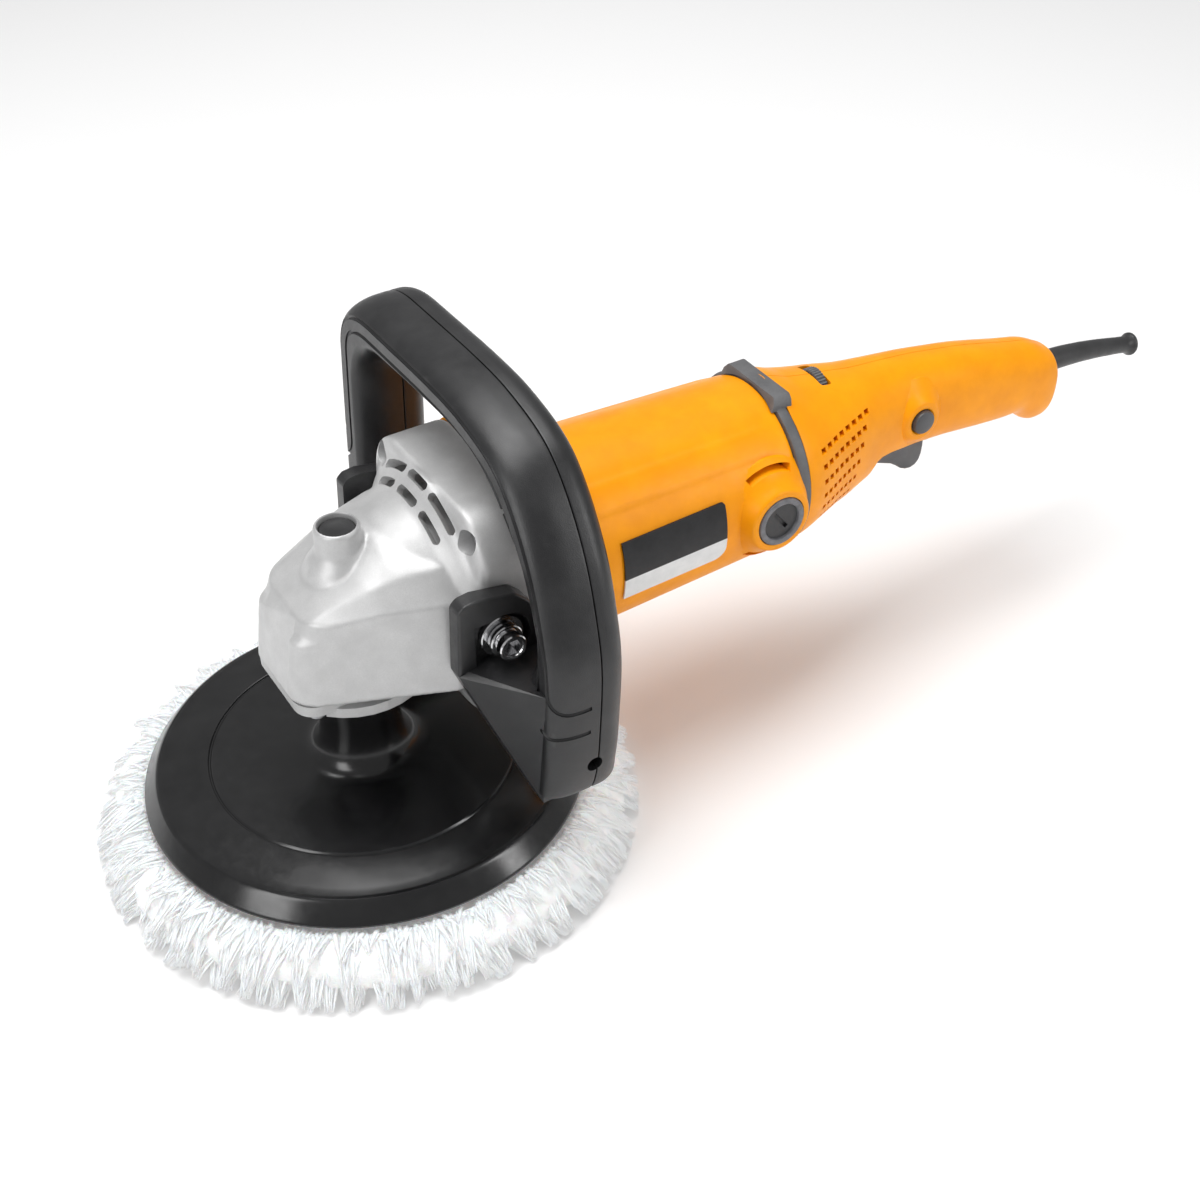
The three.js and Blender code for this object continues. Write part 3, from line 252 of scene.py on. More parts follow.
chance = random.Random(7)
FLEECE_PROFILE = [
    (0, 0.6), (70, 0.4), (92, 0.6), (100, 2.4), (104, 6), (105.5, 10.5), (103.5, 15), (99, 18.6),
    (94, 20.4), (90.8, 20.8), (89.4, 19.2), (60, 19.2), (0, 19.2),
]
HIDE_EDGE = 91
fleece = turned("wool_bonnet_fleece", FLEECE_PROFILE, around=220)
for vertex in fleece.data.vertices:
    spot = Vector(vertex.co) / MM
    reach = math.hypot(spot.x, spot.y)
    if reach > HIDE_EDGE:
        swell = noise.noise(spot * 0.16) * 2.2 + noise.noise(spot * 0.5) * 0.8
        vertex.co = (spot + Vector((spot.x / reach, spot.y / reach, 0.25)) * swell) * MM
        vertex.co.z = max(vertex.co.z, 0.3 * MM)


def lock_of_wool(points, faces, marks, root, tip, sag, width, wave):
    """One tapering, wavy lock from root to tip, four-sided, added to the lists."""
    steps = 6
    line = tip - root
    side = Vector((-line.y, line.x, 0)).normalized()
    shade = chance.random()
    first = len(points)
    for step in range(steps):
        t = step / (steps - 0.6)
        middle = root + line * t + Vector((0, 0, 1)) * (sag * 4 * t * (1 - t))
        middle += side * math.sin(t * 5 + wave * 9) * wave * 1.4 * t
        middle.z = max(middle.z, 0.5)
        half = width * (1 - t) ** 0.7 * 0.5 + 0.04
        for across, above in ((half, 0), (0, half * 0.55), (-half, 0), (0, -half * 0.55)):
            points.append(middle + side * across + Vector((0, 0, above)))
            marks.append((t, shade))
    for step in range(steps - 1):
        for k in range(4):
            a, b = first + step * 4 + k, first + step * 4 + (k + 1) % 4
            faces.append((a, a + 4, b + 4, b))
    faces.append(tuple(first + k for k in range(4)))
    faces.append(tuple(first + (steps - 1) * 4 + k for k in (3, 2, 1, 0)))


# Layers of locks: root radius, root height, reach beyond the root, tip height, clumps.
FLEECE_LAYERS = [
    (90.4, 20.8, 13, 17.5, 104), (92.5, 20.4, 19, 10, 96), (96, 18, 16, 4.5, 88),
    (99, 13, 13.5, 1.6, 78), (101, 8, 11.5, 0.9, 70), (98, 4, 14, 0.7, 64),
]
LOCKS_PER_CLUMP, FLEECE_REACH = 12, 113
lock_points, lock_faces, lock_marks = [], [], []
for radius, height, reach, tip_height, clumps in FLEECE_LAYERS:
    for clump in range(clumps):
        angle = TAU * (clump + chance.uniform(-0.5, 0.5)) / clumps
        swirl = 0.5 * noise.noise(Vector((math.cos(angle) * 2.2, math.sin(angle) * 2.2, radius)))
        swirl += chance.uniform(-0.16, 0.16)
        length = reach * chance.uniform(0.62, 1.3)
        aim = angle + swirl
        tip = Vector((radius * math.cos(angle), radius * math.sin(angle), tip_height))
        tip += Vector((math.cos(aim), math.sin(aim), 0)) * length
        tip.z = max(0.6, tip_height + chance.uniform(-1.5, 2.5))
        for _ in range(LOCKS_PER_CLUMP):
            spread = angle + chance.uniform(-4.6, 4.6) / radius
            start = radius + chance.uniform(-2, 2.5)
            root = Vector((
                start * math.cos(spread), start * math.sin(spread),
                height + chance.uniform(-1.6, 0.6),
            ))
            end = tip + Vector([chance.uniform(-play, play) for play in (1.5, 1.5, 0.8)])
            end.z = max(end.z, 0.6)
            out = math.hypot(end.x, end.y)
            if out > FLEECE_REACH:
                end.x, end.y = end.x * FLEECE_REACH / out, end.y * FLEECE_REACH / out
            lock_of_wool(
                lock_points, lock_faces, lock_marks, root, end,
                chance.uniform(0.2, 1.6), chance.uniform(1.2, 2.6), chance.uniform(-0.4, 0.4),
            )
locks = new_piece("wool_bonnet_locks", lock_points, lock_faces)
for column, name in enumerate(("wool_run", "wool_shade")):
    mark = locks.data.attributes.new(name, "FLOAT", "POINT")
    mark.data.foreach_set("value", [m[column] for m in lock_marks])


def wool_finish(name, locked):
    # The white emission (strength 0.2) is painted light: the wool glows a little to lift the shade
    # between the locks, standing in for light passing through the fibres.
    wool = Finish(
        name, roughness=0.85, sheen_weight=0.6, sheen_roughness=0.45, subsurface_weight=0.3,
        subsurface_scale=0.008, emission_color=(1, 1, 1, 1), emission_strength=0.2,
    )
    cloud = wool.grain(9, 4)
    colour = wool.ramp(cloud, [(0.3, (0.86, 0.86, 0.85)), (0.62, (0.97, 0.97, 0.97))])
    if locked:
        run = wool.span(wool.attribute("wool_run"), 0, 1, 0.0, 0.6)
        tint = wool.span(wool.attribute("wool_shade"), 0, 1, 0, 0.4)
        colour = wool.blend(wool.sum(run, tint), colour, (1.0, 1.0, 1.0))
    wool.wire("Base Color", colour)
    wool.wire("Roughness", wool.span(cloud, 0.3, 0.7, 0.75, 0.95))
    wool.bumps((wool.grain(1.1, 5, 0.7), 0.8), (wool.grain(0.35, 2), 0.25))
    return wool


dress(fleece, wool_finish("lambswool_mat", False), "output", "wool", "wool_bonnet")
dress(locks, wool_finish("lambswool_locks", True), "output", "wool", "wool_bonnet")

# ---- Hook disc and backing pad ---------------------------------------------------------------
# The pad is one black moulding with a satin top, a bevelled rim and a tall neck over a steel
# nut. The hook disc is glued to its face, and grips the hide of the bonnet.
def plastic(name, colour, other, gloss=(0.3, 0.45), grain=0.45, depth=0.035, worn=None, **shine):
    """Moulded plastic: faint colour clouds, fine spark grain and a soft ripple."""
    made = Finish(name, **shine)
    cloud = made.grain(14, 4)
    tint = made.ramp(cloud, [(0.35, colour), (0.68, other)])
    if worn:
        edge = made.node("NewGeometry").outputs["Pointiness"]
        edge = made.span(edge, 0.53, 0.6, 0, 0.55)
        tint = made.blend(made.sum(edge, made.grain(1.5, 4), "MULTIPLY"), tint, worn)
    made.wire("Base Color", tint)
    made.wire("Roughness", made.span(made.grain(5, 5, 0.7), 0.3, 0.7, *gloss))
    made.bumps((made.grain(22, 2), 0.12), (made.grain(grain, 2), depth))
    return made


def metal(
    name, colour, other, gloss=(0.25, 0.4), grain=0.6, depth=0.03, stretch=(1, 1, 1), **shine
):
    """Bare metal: brushed or cast, by how far its grain is stretched."""
    made = Finish(name, **{"metallic": 1.0, **shine})
    brush = made.grain(grain, 5, 0.65, stretch)
    cloud = made.grain(11, 3)
    mottle = made.sum(brush, cloud, "MULTIPLY")
    made.wire("Base Color", made.ramp(mottle, [(0.1, colour), (0.42, other)]))
    made.wire("Roughness", made.span(brush, 0.3, 0.7, *gloss))
    made.bumps((brush, depth))
    return made


def dress_node(node, finish):
    """A CAD node that keeps its own shape, with this finish."""
    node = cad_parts[node]
    node.data.materials.clear()
    node.data.materials.append(finish.material)
    rounding = node.modifiers.new("edge_split", "EDGE_SPLIT")
    rounding.split_angle = math.radians(32)
    node.data.shade_smooth()


steel = metal("ground_steel", (0.36, 0.36, 0.38), (0.62, 0.62, 0.63))
hook_fabric = plastic("hook_tape", (0.02, 0.02, 0.022), (0.05, 0.05, 0.05), (0.7, 0.9), 0.8, 0.5)
dress_node("hook_disc", hook_fabric)
for node in ("pad_nut", "spindle", "ring_gear", "spindle_bearing_lower", "spindle_bearing_upper"):
    dress_node(node, steel)

PAD_PROFILE = [
    (0, 22.6), (86.5, 22.6), (88.8, 22.7), (89.7, 23.3), (89.9, 24.2), (89.4, 25.2), (84.9, 31.0),
    (84.2, 31.9), (83.3, 32.4), (82.2, 32.3), (81.4, 32.1), (78, 32.5), (70, 33.4), (63.6, 34.1),
    (63.1, 33.9), (62.8, 33.5), (62.3, 33.5), (62, 33.9), (61.5, 34.3), (50, 34.6), (33, 34.9),
    (27, 35.2), (23.8, 35.9), (21.4, 37.2), (19.6, 39), (18.2, 41.5), (17.2, 44.5), (16.5, 48.5),
    (16.1, 54), (16, 71), (15.6, 71.8), (14.8, 72), (13.4, 72), (12.9, 71.4), (12.8, 34), (0, 34),
]
# The nut's hexagonal pocket is round above the nut and the nut fills it below.
pad = turned("backing_pad_moulding", PAD_PROFILE, around=240)
pad_black = plastic(
    "pad_black", (0.004, 0.004, 0.0045), (0.009, 0.009, 0.0095), (0.16, 0.26), 0.5, 0.012,
    coat_weight=0.25, coat_roughness=0.18,
)
dress(pad, pad_black, "output", "pad_plastic", "backing_pad")


# ---- Gear head -------------------------------------------------------------------------------
# One aluminium die casting, shot-blasted and sprayed silver: a wedge-nosed gearbox, a bell-shaped
# shoulder with air slots, and a square flange that four screws clamp to the motor barrel.
def settle(piece):
    """Makes a piece's modifiers permanent."""
    bpy.context.view_layer.update()
    ready = piece.evaluated_get(bpy.context.evaluated_depsgraph_get())
    mesh = bpy.data.meshes.new_from_object(ready)
    piece.modifiers.clear()
    piece.data = mesh


def joined(name, *parts):
    """Several shapes as one object, still overlapping."""
    points, faces = [], []
    for part in parts:
        first = len(points)
        points += [v.co / MM for v in part.data.vertices]
        faces += [tuple(first + k for k in face.vertices) for face in part.data.polygons]
        bpy.data.objects.remove(part)
    return new_piece(name, points, faces)


def fitted(piece, tools, operation="DIFFERENCE"):
    """Cuts, joins or trims a piece with each tool in turn, and clears the tools away."""
    for tool in tools:
        step = piece.modifiers.new("fit", "BOOLEAN")
        step.operation = operation
        step.solver = "MANIFOLD"
        step.object = tool
        settle(piece)
        bpy.data.objects.remove(tool)
    return piece


def melted(piece, grid, rounds, keep):
    """Runs a piece's shapes into one skin with softly rounded edges, as a moulding has."""
    skin = piece.modifiers.new("skin", "REMESH")
    skin.mode = "VOXEL"
    skin.voxel_size = grid * MM
    ease = piece.modifiers.new("ease", "SMOOTH")
    ease.factor = 0.5
    ease.iterations = rounds
    thin = piece.modifiers.new("thin", "DECIMATE")
    thin.ratio = keep
    settle(piece)
    piece.data.shade_smooth()
    return piece


def box(low, high):
    xs, ys, zs = zip(low, high)
    points = [(x, y, z) for x in xs for y in ys for z in zs]
    return new_piece(
        "box", points,
        [(0, 1, 3, 2), (4, 6, 7, 5), (0, 4, 5, 1), (2, 3, 7, 6), (0, 2, 6, 4), (1, 5, 7, 3)],
    )


def bar(axis, radius, start, stop, centre, around=48):
    side = [(0, start), (radius, start), (radius, stop), (0, stop)]
    return turned("bar", side, axis, centre, around)


def skinned(name, rings):
    """A closed shape through rings of equally many points, each ring listed the same way round."""
    count = len(rings[0])
    points = [p for ring in rings for p in ring]
    faces = []
    for step in range(len(rings) - 1):
        for k in range(count):
            a, b = step * count + k, step * count + (k + 1) % count
            faces.append((a, b, b + count, a + count))
    faces.append(tuple(range(count))[::-1])
    faces.append(tuple(range((len(rings) - 1) * count, len(rings) * count)))
    return new_piece(name, points, faces)


def prism(axis, outline, start, stop):
    """A flat outline pushed from start to stop along an axis."""
    place = {
        "x": lambda a, b, along: (along, a, b),
        "y": lambda a, b, along: (b, along, a),
        "z": lambda a, b, along: (a, b, along),
    }[axis]
    area = sum(a[0] * b[1] - b[0] * a[1] for a, b in zip(outline, outline[1:] + outline[:1]))
    ordered = outline if area > 0 else outline[::-1]
    return skinned("prism", [[place(a, b, along) for a, b in ordered] for along in (start, stop)])


def rounded_square(half_y, half_z, corner, x, centre_z, count=96):
    """A ring in a plane of constant x: a rectangle whose corners are arcs."""
    ring = []
    for quarter, (sy, sz) in enumerate(((1, 1), (-1, 1), (-1, -1), (1, -1))):
        for k in range(count // 4):
            angle = (quarter + k / (count // 4 - 1)) * math.pi / 2
            ring.append(
                (
                    x,
                    sy * (half_y - corner) + corner * math.cos(angle),
                    centre_z + sz * (half_z - corner) + corner * math.sin(angle),
                )
            )
    return ring


def between(pairs, at):
    """The value at `at` on a line through (place, value) pairs."""
    return float(np.interp(at, [p[0] for p in pairs], [p[1] for p in pairs]))


MOTOR_Z = 105
PINION_Z = 120
HEAD_LOW = 84
NOSE = [(84, -33.2), (110.3, -29.6), (112.4, -26.8), (118, -24.4), (150, -24.4)]  # z, front x
FLANK_LOW = [(-34, 21.5), (24, 45), (60, 45)]  # x, half width at the foot
FLANK_TOP = [(-24, 20.5), (0.6, 31), (26.5, 40), (60, 41)]  # x, half width at the deck's edge
DECK_EDGE = [(-24, 118), (0.6, 121.7), (26.5, 121.8), (60, 121.8)]  # x, height there
CREASE = [(-26, 17.5), (-14, 19.5), (0, 23.5), (25, 30), (60, 33)]  # x, |y| of the chamfer's crease
CREASE_Z = [(-24, 118.4), (-14, 122.8), (0, 128.5), (12, 131.5), (25, 132.5), (60, 133)]
RIDGE = [(-24.4, 118.2), (11, 138.6), (15, 139.4), (60, 139.4)]  # x, height of the deck's middle
NOSE_CORNER = 9
HEAD_BACK = 42


def deck_height(x, y):
    """Height of the deck: crowned in the middle, then a chamfer down to the flank's top edge."""
    side, crease, edge = abs(y), between(CREASE, x), between(FLANK_TOP, x)
    ridge, fold = between(RIDGE, x), between(CREASE_Z, x)
    if side <= crease:
        return ridge - (ridge - fold) * (side / crease) ** 2.2
    drop = between(DECK_EDGE, x)
    return fold + (drop - fold) * min(1, (side - crease) / max(0.1, edge - crease))


def nose_casting():
    """The gearbox: a block whose flanks lean in, under the crowned deck."""
    columns, rows, levels = 56, 64, 26
    rings = []

    def spot(u, v, level):
        height = HEAD_LOW + 34 * level
        front = between(NOSE, height)
        x = front + (HEAD_BACK - front) * u
        lean = min(1, max(0, (height - HEAD_LOW) / 36))
        half = between(FLANK_LOW, x) * (1 - lean) + between(FLANK_TOP, x) * lean
        inward = x - front
        if inward < NOSE_CORNER:
            half -= NOSE_CORNER - math.sqrt(NOSE_CORNER**2 - (NOSE_CORNER - inward) ** 2)
        y = half * v
        top = deck_height(x, y)
        return x, y, HEAD_LOW + (top - HEAD_LOW) * level

    for i in range(columns + 1):
        u = (i / columns) ** 1.4
        ring = [spot(u, 1 - 2 * k / rows, 1) for k in range(rows)]
        ring += [spot(u, -1, 1 - k / levels) for k in range(levels)]
        ring += [spot(u, 2 * k / rows - 1, 0) for k in range(rows)]
        ring += [spot(u, 1, k / levels) for k in range(levels)]
        rings.append(ring[::-1])
    return skinned("nose", rings)


BELL = [
    (5, 28), (14, 34.6), (17, 36), (22, 38), (27, 40), (29, 41.5), (31.5, 44), (33.5, 46.6),
    (35, 48), (36.6, 48.6),
]
FLANGE_HALF_Y, FLANGE_HALF_Z, FLANGE_CORNER = 45, 48, 20
BUTTON_REACH = 7.3
BOLT_X, BOLT_Z = 40.3, 108.5
SCREW_SPOTS = [(y, z) for y in (-35, 35) for z in (143.5, 66.5)]

bell_line = [(0, 5)] + [(r, x) for x, r in BELL] + [(47, 40), (0, 40)]
bell = turned("bell", bell_line, "x", (0, MOTOR_Z), 160)
bell = fitted(bell, [box((0, -FLANGE_HALF_Y, HEAD_LOW), (50, FLANGE_HALF_Y, 160))], "INTERSECT")
flange = skinned(
    "flange",
    [
        rounded_square(half_y, half_z, corner, x, MOTOR_Z)
        for x, half_y, half_z, corner in (
            (35.6, 42.2, 45.2, 24), (36.4, 43.8, 46.8, 21.5), (37.6, 44.8, 47.8, 20),
            (38.6, 45, 48, 20), (61.6, 45, 48, 20), (62.6, 44.4, 47.4, 19.6), (63, 43.8, 46.8, 19),
        )
    ],
)
lock_boss = turned(
    "boss",
    [
        (0, 117), (17, 117), (16, 122), (14.2, 127), (12.2, 130.5), (10.4, 132.8), (9.3, 134.6),
        (9.1, 136.5), (9.0, 143.6), (8.7, 144.4), (8.2, 144.6), (0, 144.6),
    ],
    around=96,
)


def around_motor(section, first, last, steps=28):
    """A closed shape swept about the motor's axis between two angles from the vertical."""
    rings = []
    for k in range(steps + 1):
        degrees = first + (last - first) * k / steps
        angle = math.radians(degrees)
        rings.append([
            (x, reach * math.sin(angle), MOTOR_Z + reach * math.cos(angle))
            for x, reach in section(degrees)
        ])
    return skinned("sweep", rings)


head = joined("gear_head_casting", nose_casting(), bell, flange, lock_boss)
head = melted(head, 0.9, 5, 1.0)
cutters = [
    turned(
        "spindle_bore",
        [
            (0, 80), (22.6, 80), (22.6, 114.4), (15.5, 118.2), (9.5, 122.4), (8.3, 122.4),
            (8.3, 129.7), (5.9, 129.7), (5.9, 131.8), (0, 131.8),
        ],
        around=48,
    ),
    bar("x", 9.5, 6, 30, (0, PINION_Z)),
    bar("x", 13.3, 28.2, 42, (0, PINION_Z)),
    bar("x", 14.2, 41, 66, (0, PINION_Z)),
    bar("x", 13, 41, 66, (0, MOTOR_Z)),
    turned(
        "button_well",
        [(0, 136), (BUTTON_REACH, 136), (BUTTON_REACH, 143.8), (8, 144.9), (8.4, 147), (0, 147)],
        around=72,
    ),
    box((-2.3, -2.3, 131), (2.3, 2.3, 137)),
    around_motor(
        lambda angle: [(28, 36), (28, 36.6), (33.6, 41.6), (37.1, 44.9), (66, 44.9), (66, 36)],
        -37, 37,
    ),
]


SLOT_HALF = 1.8
SLOT_ROWS = [
    (29.2, 41.8, ((-36, -15), (-10, 10), (15, 36))),
    (34.4, 46.9, ((-36, -12), (-8.5, 8.5), (12, 36))),
]
for slot_x, reach, arcs in SLOT_ROWS:
    for first, last in arcs:

        def section(angle):
            """The slot's width and depth, drawn in to round ends."""
            end = min(angle - first, last - angle) * math.radians(1) * reach / SLOT_HALF
            half = SLOT_HALF * math.sqrt(max(0.02, 1 - max(0, 1 - end) ** 2))
            return [
                (slot_x + (across - out) * 0.707, reach + (across + out) * 0.707)
                for across, out in ((-half, -5), (-half, 6), (half, 6), (half, -5))
            ]

        cutters.append(around_motor(section, first, last))
for y, z in SCREW_SPOTS:
    cutters.append(bar("x", 5, 20, 44, (y, z)))
    cutters.append(bar("x", 2.5, 40, 66, (y, z), 20))
for x, y in ((-24.5, -19), (-24.5, 19), (24, -27), (24, 27)):
    cutters.append(bar("z", 2.1, 80, 95, (x, y), 16))
for start, stop in ((-50, -24), (24, 50)):
    cutters.append(bar("y", 4.3, start, stop, (BOLT_X, BOLT_Z), 32))
head = fitted(head, cutters)
cast_silver = metal(
    "cast_silver", (0.5, 0.5, 0.5), (0.62, 0.62, 0.62), (0.4, 0.54), 0.5, 0.05, metallic=0.5,
)
dress(head, cast_silver, "tool", "cast_aluminium", "gear_housing")
dress_node("bearing_retainer", cast_silver)
dress_node("gearcase_plate", cast_silver)
for number in range(1, 5):
    dress_node(f"flange_screw_{number}", steel)
    dress_node(f"retainer_screw_{number}", steel)

# ---- Motor housing ---------------------------------------------------------------------------
# A tapered drum moulded in glossy orange nylon: a square mouth for the gear head, a raised flat
# along each side, and two bosses that take the screw-in caps of the carbon brushes.
BARREL_FRONT, BARREL_REAR, BARREL_MEAN = 63.3, 187.2, 40
BRUSH_X = 173.5


def barrel_radius(x):
    return between([(BARREL_FRONT, 42.6), (BARREL_REAR, 37.8)], x)


def mouth_reach(angle):
    """How far the mouth's rounded square lies from the motor's axis in this direction."""
    near, far = 30.0, 66.0
    for _ in range(24):
        reach = (near + far) / 2
        dy = max(0, abs(reach * math.cos(angle)) - FLANGE_HALF_Y + FLANGE_CORNER)
        dz = max(0, abs(reach * math.sin(angle)) - FLANGE_HALF_Z + FLANGE_CORNER)
        if math.hypot(dy, dz) < FLANGE_CORNER:
            near = reach
        else:
            far = reach
    return near


def barrel_ring(x, around=192):
    """The drum's section: square at the mouth, then round with a raised flat on each flank."""
    square = min(1, max(0, (84 - x) / 10.5)) ** 1.5
    fade = min(1, max(0, (x - 84) / 8)) * min(1, max(0, (BARREL_REAR - 4 - x) / 6))
    ring = []
    for k in range(around):
        angle = TAU * k / around
        slope = math.degrees(math.asin(abs(math.sin(angle)))) * (1 if math.sin(angle) > 0 else -1)
        rise = min(1, max(0, (slope - 37) / 1.9)) * min(1, max(0, (57 - slope) / 1.9))
        reach = barrel_radius(x) + 0.5 * rise * fade
        reach += (mouth_reach(angle) - reach) * square if square > 0 else 0
        ring.append((x, reach * math.cos(angle), MOTOR_Z + reach * math.sin(angle)))
    return ring


stations = [63.3, 63.9, 70, 73, 74.5, 76, 77.5, 79, 80.5, 82, 84, 86, 88, 90, 92]
stations += list(np.linspace(96, 180, 22)) + [183, 185.5, 186.6, 187.2]
rings = [barrel_ring(x) for x in stations]
for index, shrink in ((0, 0.6), (-2, 0.15), (-1, 0.7)):
    rate = 1 - shrink / BARREL_MEAN
    rings[index] = [(x, y * rate, MOTOR_Z + (z - MOTOR_Z) * rate) for x, y, z in rings[index]]
barrel = skinned("motor_barrel", rings)
BRUSH_BOSS = [
    (0, 20), (23.5, 20), (23.5, 32), (20.6, 35.4), (18.2, 37.4), (16.4, 39.4), (15.2, 41.6),
    (14.4, 43.2), (13.9, 43.9), (13.2, 44.2), (12, 44.2), (0, 44.2),
]
mirrored = Matrix.Scale(-1, 4, Vector((0, 1, 0)))


def on_side(piece, side):
    """The piece as made on the left, or its mirror image on the right."""
    if side < 0:
        piece.data.transform(mirrored)
        piece.data.flip_normals()
    return piece


for side in (-1, 1):
    boss = turned("boss", BRUSH_BOSS, "y", (BRUSH_X, MOTOR_Z), 96)
    fitted(barrel, [on_side(boss, side)], "UNION")
hollow = [(0, 60), (39.6, 60), (34.9, 184.4), (0, 184.4)]
cutters = [turned("hollow", hollow, "x", (0, MOTOR_Z), 96)]
for k in range(8):
    angle = TAU * (k + 0.5) / 8
    cutters.append(
        bar("x", 6, 183, 190, (24 * math.cos(angle), MOTOR_Z + 24 * math.sin(angle)), 24)
    )
cutters.append(bar("x", 9.8, 184, 190, (0, MOTOR_Z)))


def arc_slot(radius, half_width, first, last):
    """A curved slot about the brush boss, cut inwards from one side."""
    steps = 20
    outline = []
    for reach, order in ((radius + half_width, 1), (radius - half_width, -1)):
        for k in range(steps + 1):
            angle = math.radians(first + (last - first) * (k if order > 0 else steps - k) / steps)
            outline.append((MOTOR_Z + reach * math.sin(angle), BRUSH_X + reach * math.cos(angle)))
    return prism("y", outline, 24, 52)


for side in (-1, 1):
    cutters.append(on_side(bar("y", 11.3, 41.3, 60, (BRUSH_X, MOTOR_Z), 96), side))
    cutters.append(on_side(box((167.2, 20, 99.7), (179.8, 42, 110.3)), side))
    cutters.append(on_side(arc_slot(20.4, 1.35, 62, 122), side))
    cutters.append(on_side(arc_slot(20.4, 1.35, 238, 298), side))
for y, z in SCREW_SPOTS:
    cutters.append(bar("x", 2.5, 62, 72.4, (y, z), 20))
fitted(barrel, cutters)
rear_cup = turned(
    "rear_bearing_cup",
    [
        (4.8, 184.4), (13, 184.4), (13, 195.8), (12.6, 196.2), (9.8, 196.2), (9.8, 188.7),
        (4.8, 188.7),
    ],
    "x", (0, MOTOR_Z), 64,
)
orange_nylon = plastic(
    "orange_nylon", (0.92, 0.315, 0.0), (1.0, 0.36, 0.0), (0.3, 0.42), 0.5, 0.025,
    worn=(1.0, 0.4, 0.01), specular_ior_level=0.22,
)
dress(barrel, orange_nylon, "tool", "orange_plastic", "motor_housing")
dress(rear_cup, orange_nylon, "tool", "orange_plastic")

# Brush caps: black screw-in discs with a proud grey rim and a coin slot.
CAP_PROFILE = [
    (0, 41.6), (10.6, 41.6), (11, 42), (11, 44.2), (10.7, 44.8), (10.1, 45), (8.9, 45), (8.4, 44.7),
    (8.1, 43.9), (7.8, 43.6), (0, 43.4),
]
cap_black = plastic(
    "cap_black", (0.02, 0.02, 0.022), (0.035, 0.035, 0.037), (0.35, 0.5), 0.35, 0.05,
)
off_axis = cap_black.node(
    "VectorMath", {0: cap_black.place, 1: (-BRUSH_X * MM, 0, -MOTOR_Z * MM)}, operation="ADD"
)
flat_part = cap_black.node(
    "VectorMath", {0: off_axis.outputs[0], 1: (1, 0, 1)}, operation="MULTIPLY"
)
reach = cap_black.node("VectorMath", {0: flat_part.outputs[0]}, operation="LENGTH").outputs["Value"]
rim = cap_black.span(reach, 0.0079, 0.0083, 0, 1)
cap_tint = cap_black.shader.inputs["Base Color"].links[0].from_socket
cap_black.wire(
    "Base Color",
    cap_black.blend(
        cap_black.sum(rim, cap_black.grain(3, 4), "MULTIPLY"), cap_tint, (0.26, 0.26, 0.28),
    ),
)
for side, word in ((-1, "right"), (1, "left")):
    cap = turned(f"brush_cap_disc_{word}", CAP_PROFILE, "y", (BRUSH_X, MOTOR_Z), 96)
    slot = box((-5, 42.2, -0.85), (5, 50, 0.85))
    slot.data.transform(
        Matrix.Translation(Vector((BRUSH_X, 0, MOTOR_Z)) * MM)
        @ Matrix.Rotation(math.radians(52), 4, "Y")
    )
    dress(
        on_side(fitted(cap, [slot]), side), cap_black, "tool", "black_plastic", f"brush_cap_{word}"
    )

# Rating plate: a thin printed film stuck on the drum's right flank, black over a white strip.
PLATE = dict(front=100, rear=149.6, low=93.6, high=119.8, split=103.4)


def band(name, proud, ends):
    """A closed skin that follows the barrel between two ends, `proud` mm above it."""
    return skinned(
        name,
        [
            [
                (x, (barrel_radius(x) + proud) * math.cos(TAU * k / 256),
                 MOTOR_Z + (barrel_radius(x) + proud) * math.sin(TAU * k / 256))
                for k in range(256)
            ]
            for x in ends
        ],
    )


sheet, core = band("sheet", 0.95, (90, 160)), band("core", 0.25, (80, 170))
outline = [(PLATE["low"], PLATE["front"])]
for height, corner, start in ((PLATE["low"], 5.5, -90), (PLATE["high"], 1.6, 0)):
    away = corner if height == PLATE["low"] else -corner
    for k in range(9):
        angle = math.radians(start + 90 * k / 8)
        outline.append(
            (height + away + corner * math.sin(angle),
             PLATE["rear"] - corner + corner * math.cos(angle))
        )
outline.append((PLATE["high"], PLATE["front"]))
plate = fitted(fitted(sheet, [core]), [prism("y", outline, -60, 0)], "INTERSECT")
plate.name = "rating_plate_film"
film = Finish("printed_film", specular_ior_level=0.35)
height = film.node("SeparateXYZ", {"Vector": film.place}).outputs["Z"]
black_part = film.span(height, PLATE["split"] * MM, (PLATE["split"] + 0.25) * MM, 0, 1)
ink = film.ramp(film.grain(6, 4), [(0.3, (0.008, 0.008, 0.009)), (0.7, (0.016, 0.016, 0.018))])
paper = film.ramp(film.grain(5, 4), [(0.3, (0.72, 0.73, 0.73)), (0.7, (0.82, 0.82, 0.82))])
film.wire("Base Color", film.blend(black_part, (1, 1, 1), ink))
film.tree.links.new(paper, film.shader.inputs["Base Color"].links[0].from_node.inputs[6])
film.wire("Roughness", film.span(film.grain(2, 4), 0.3, 0.7, 0.36, 0.48))
film.bumps((film.grain(8, 2), 0.04))
dress(plate, film, "tool", "label", "name_plate")

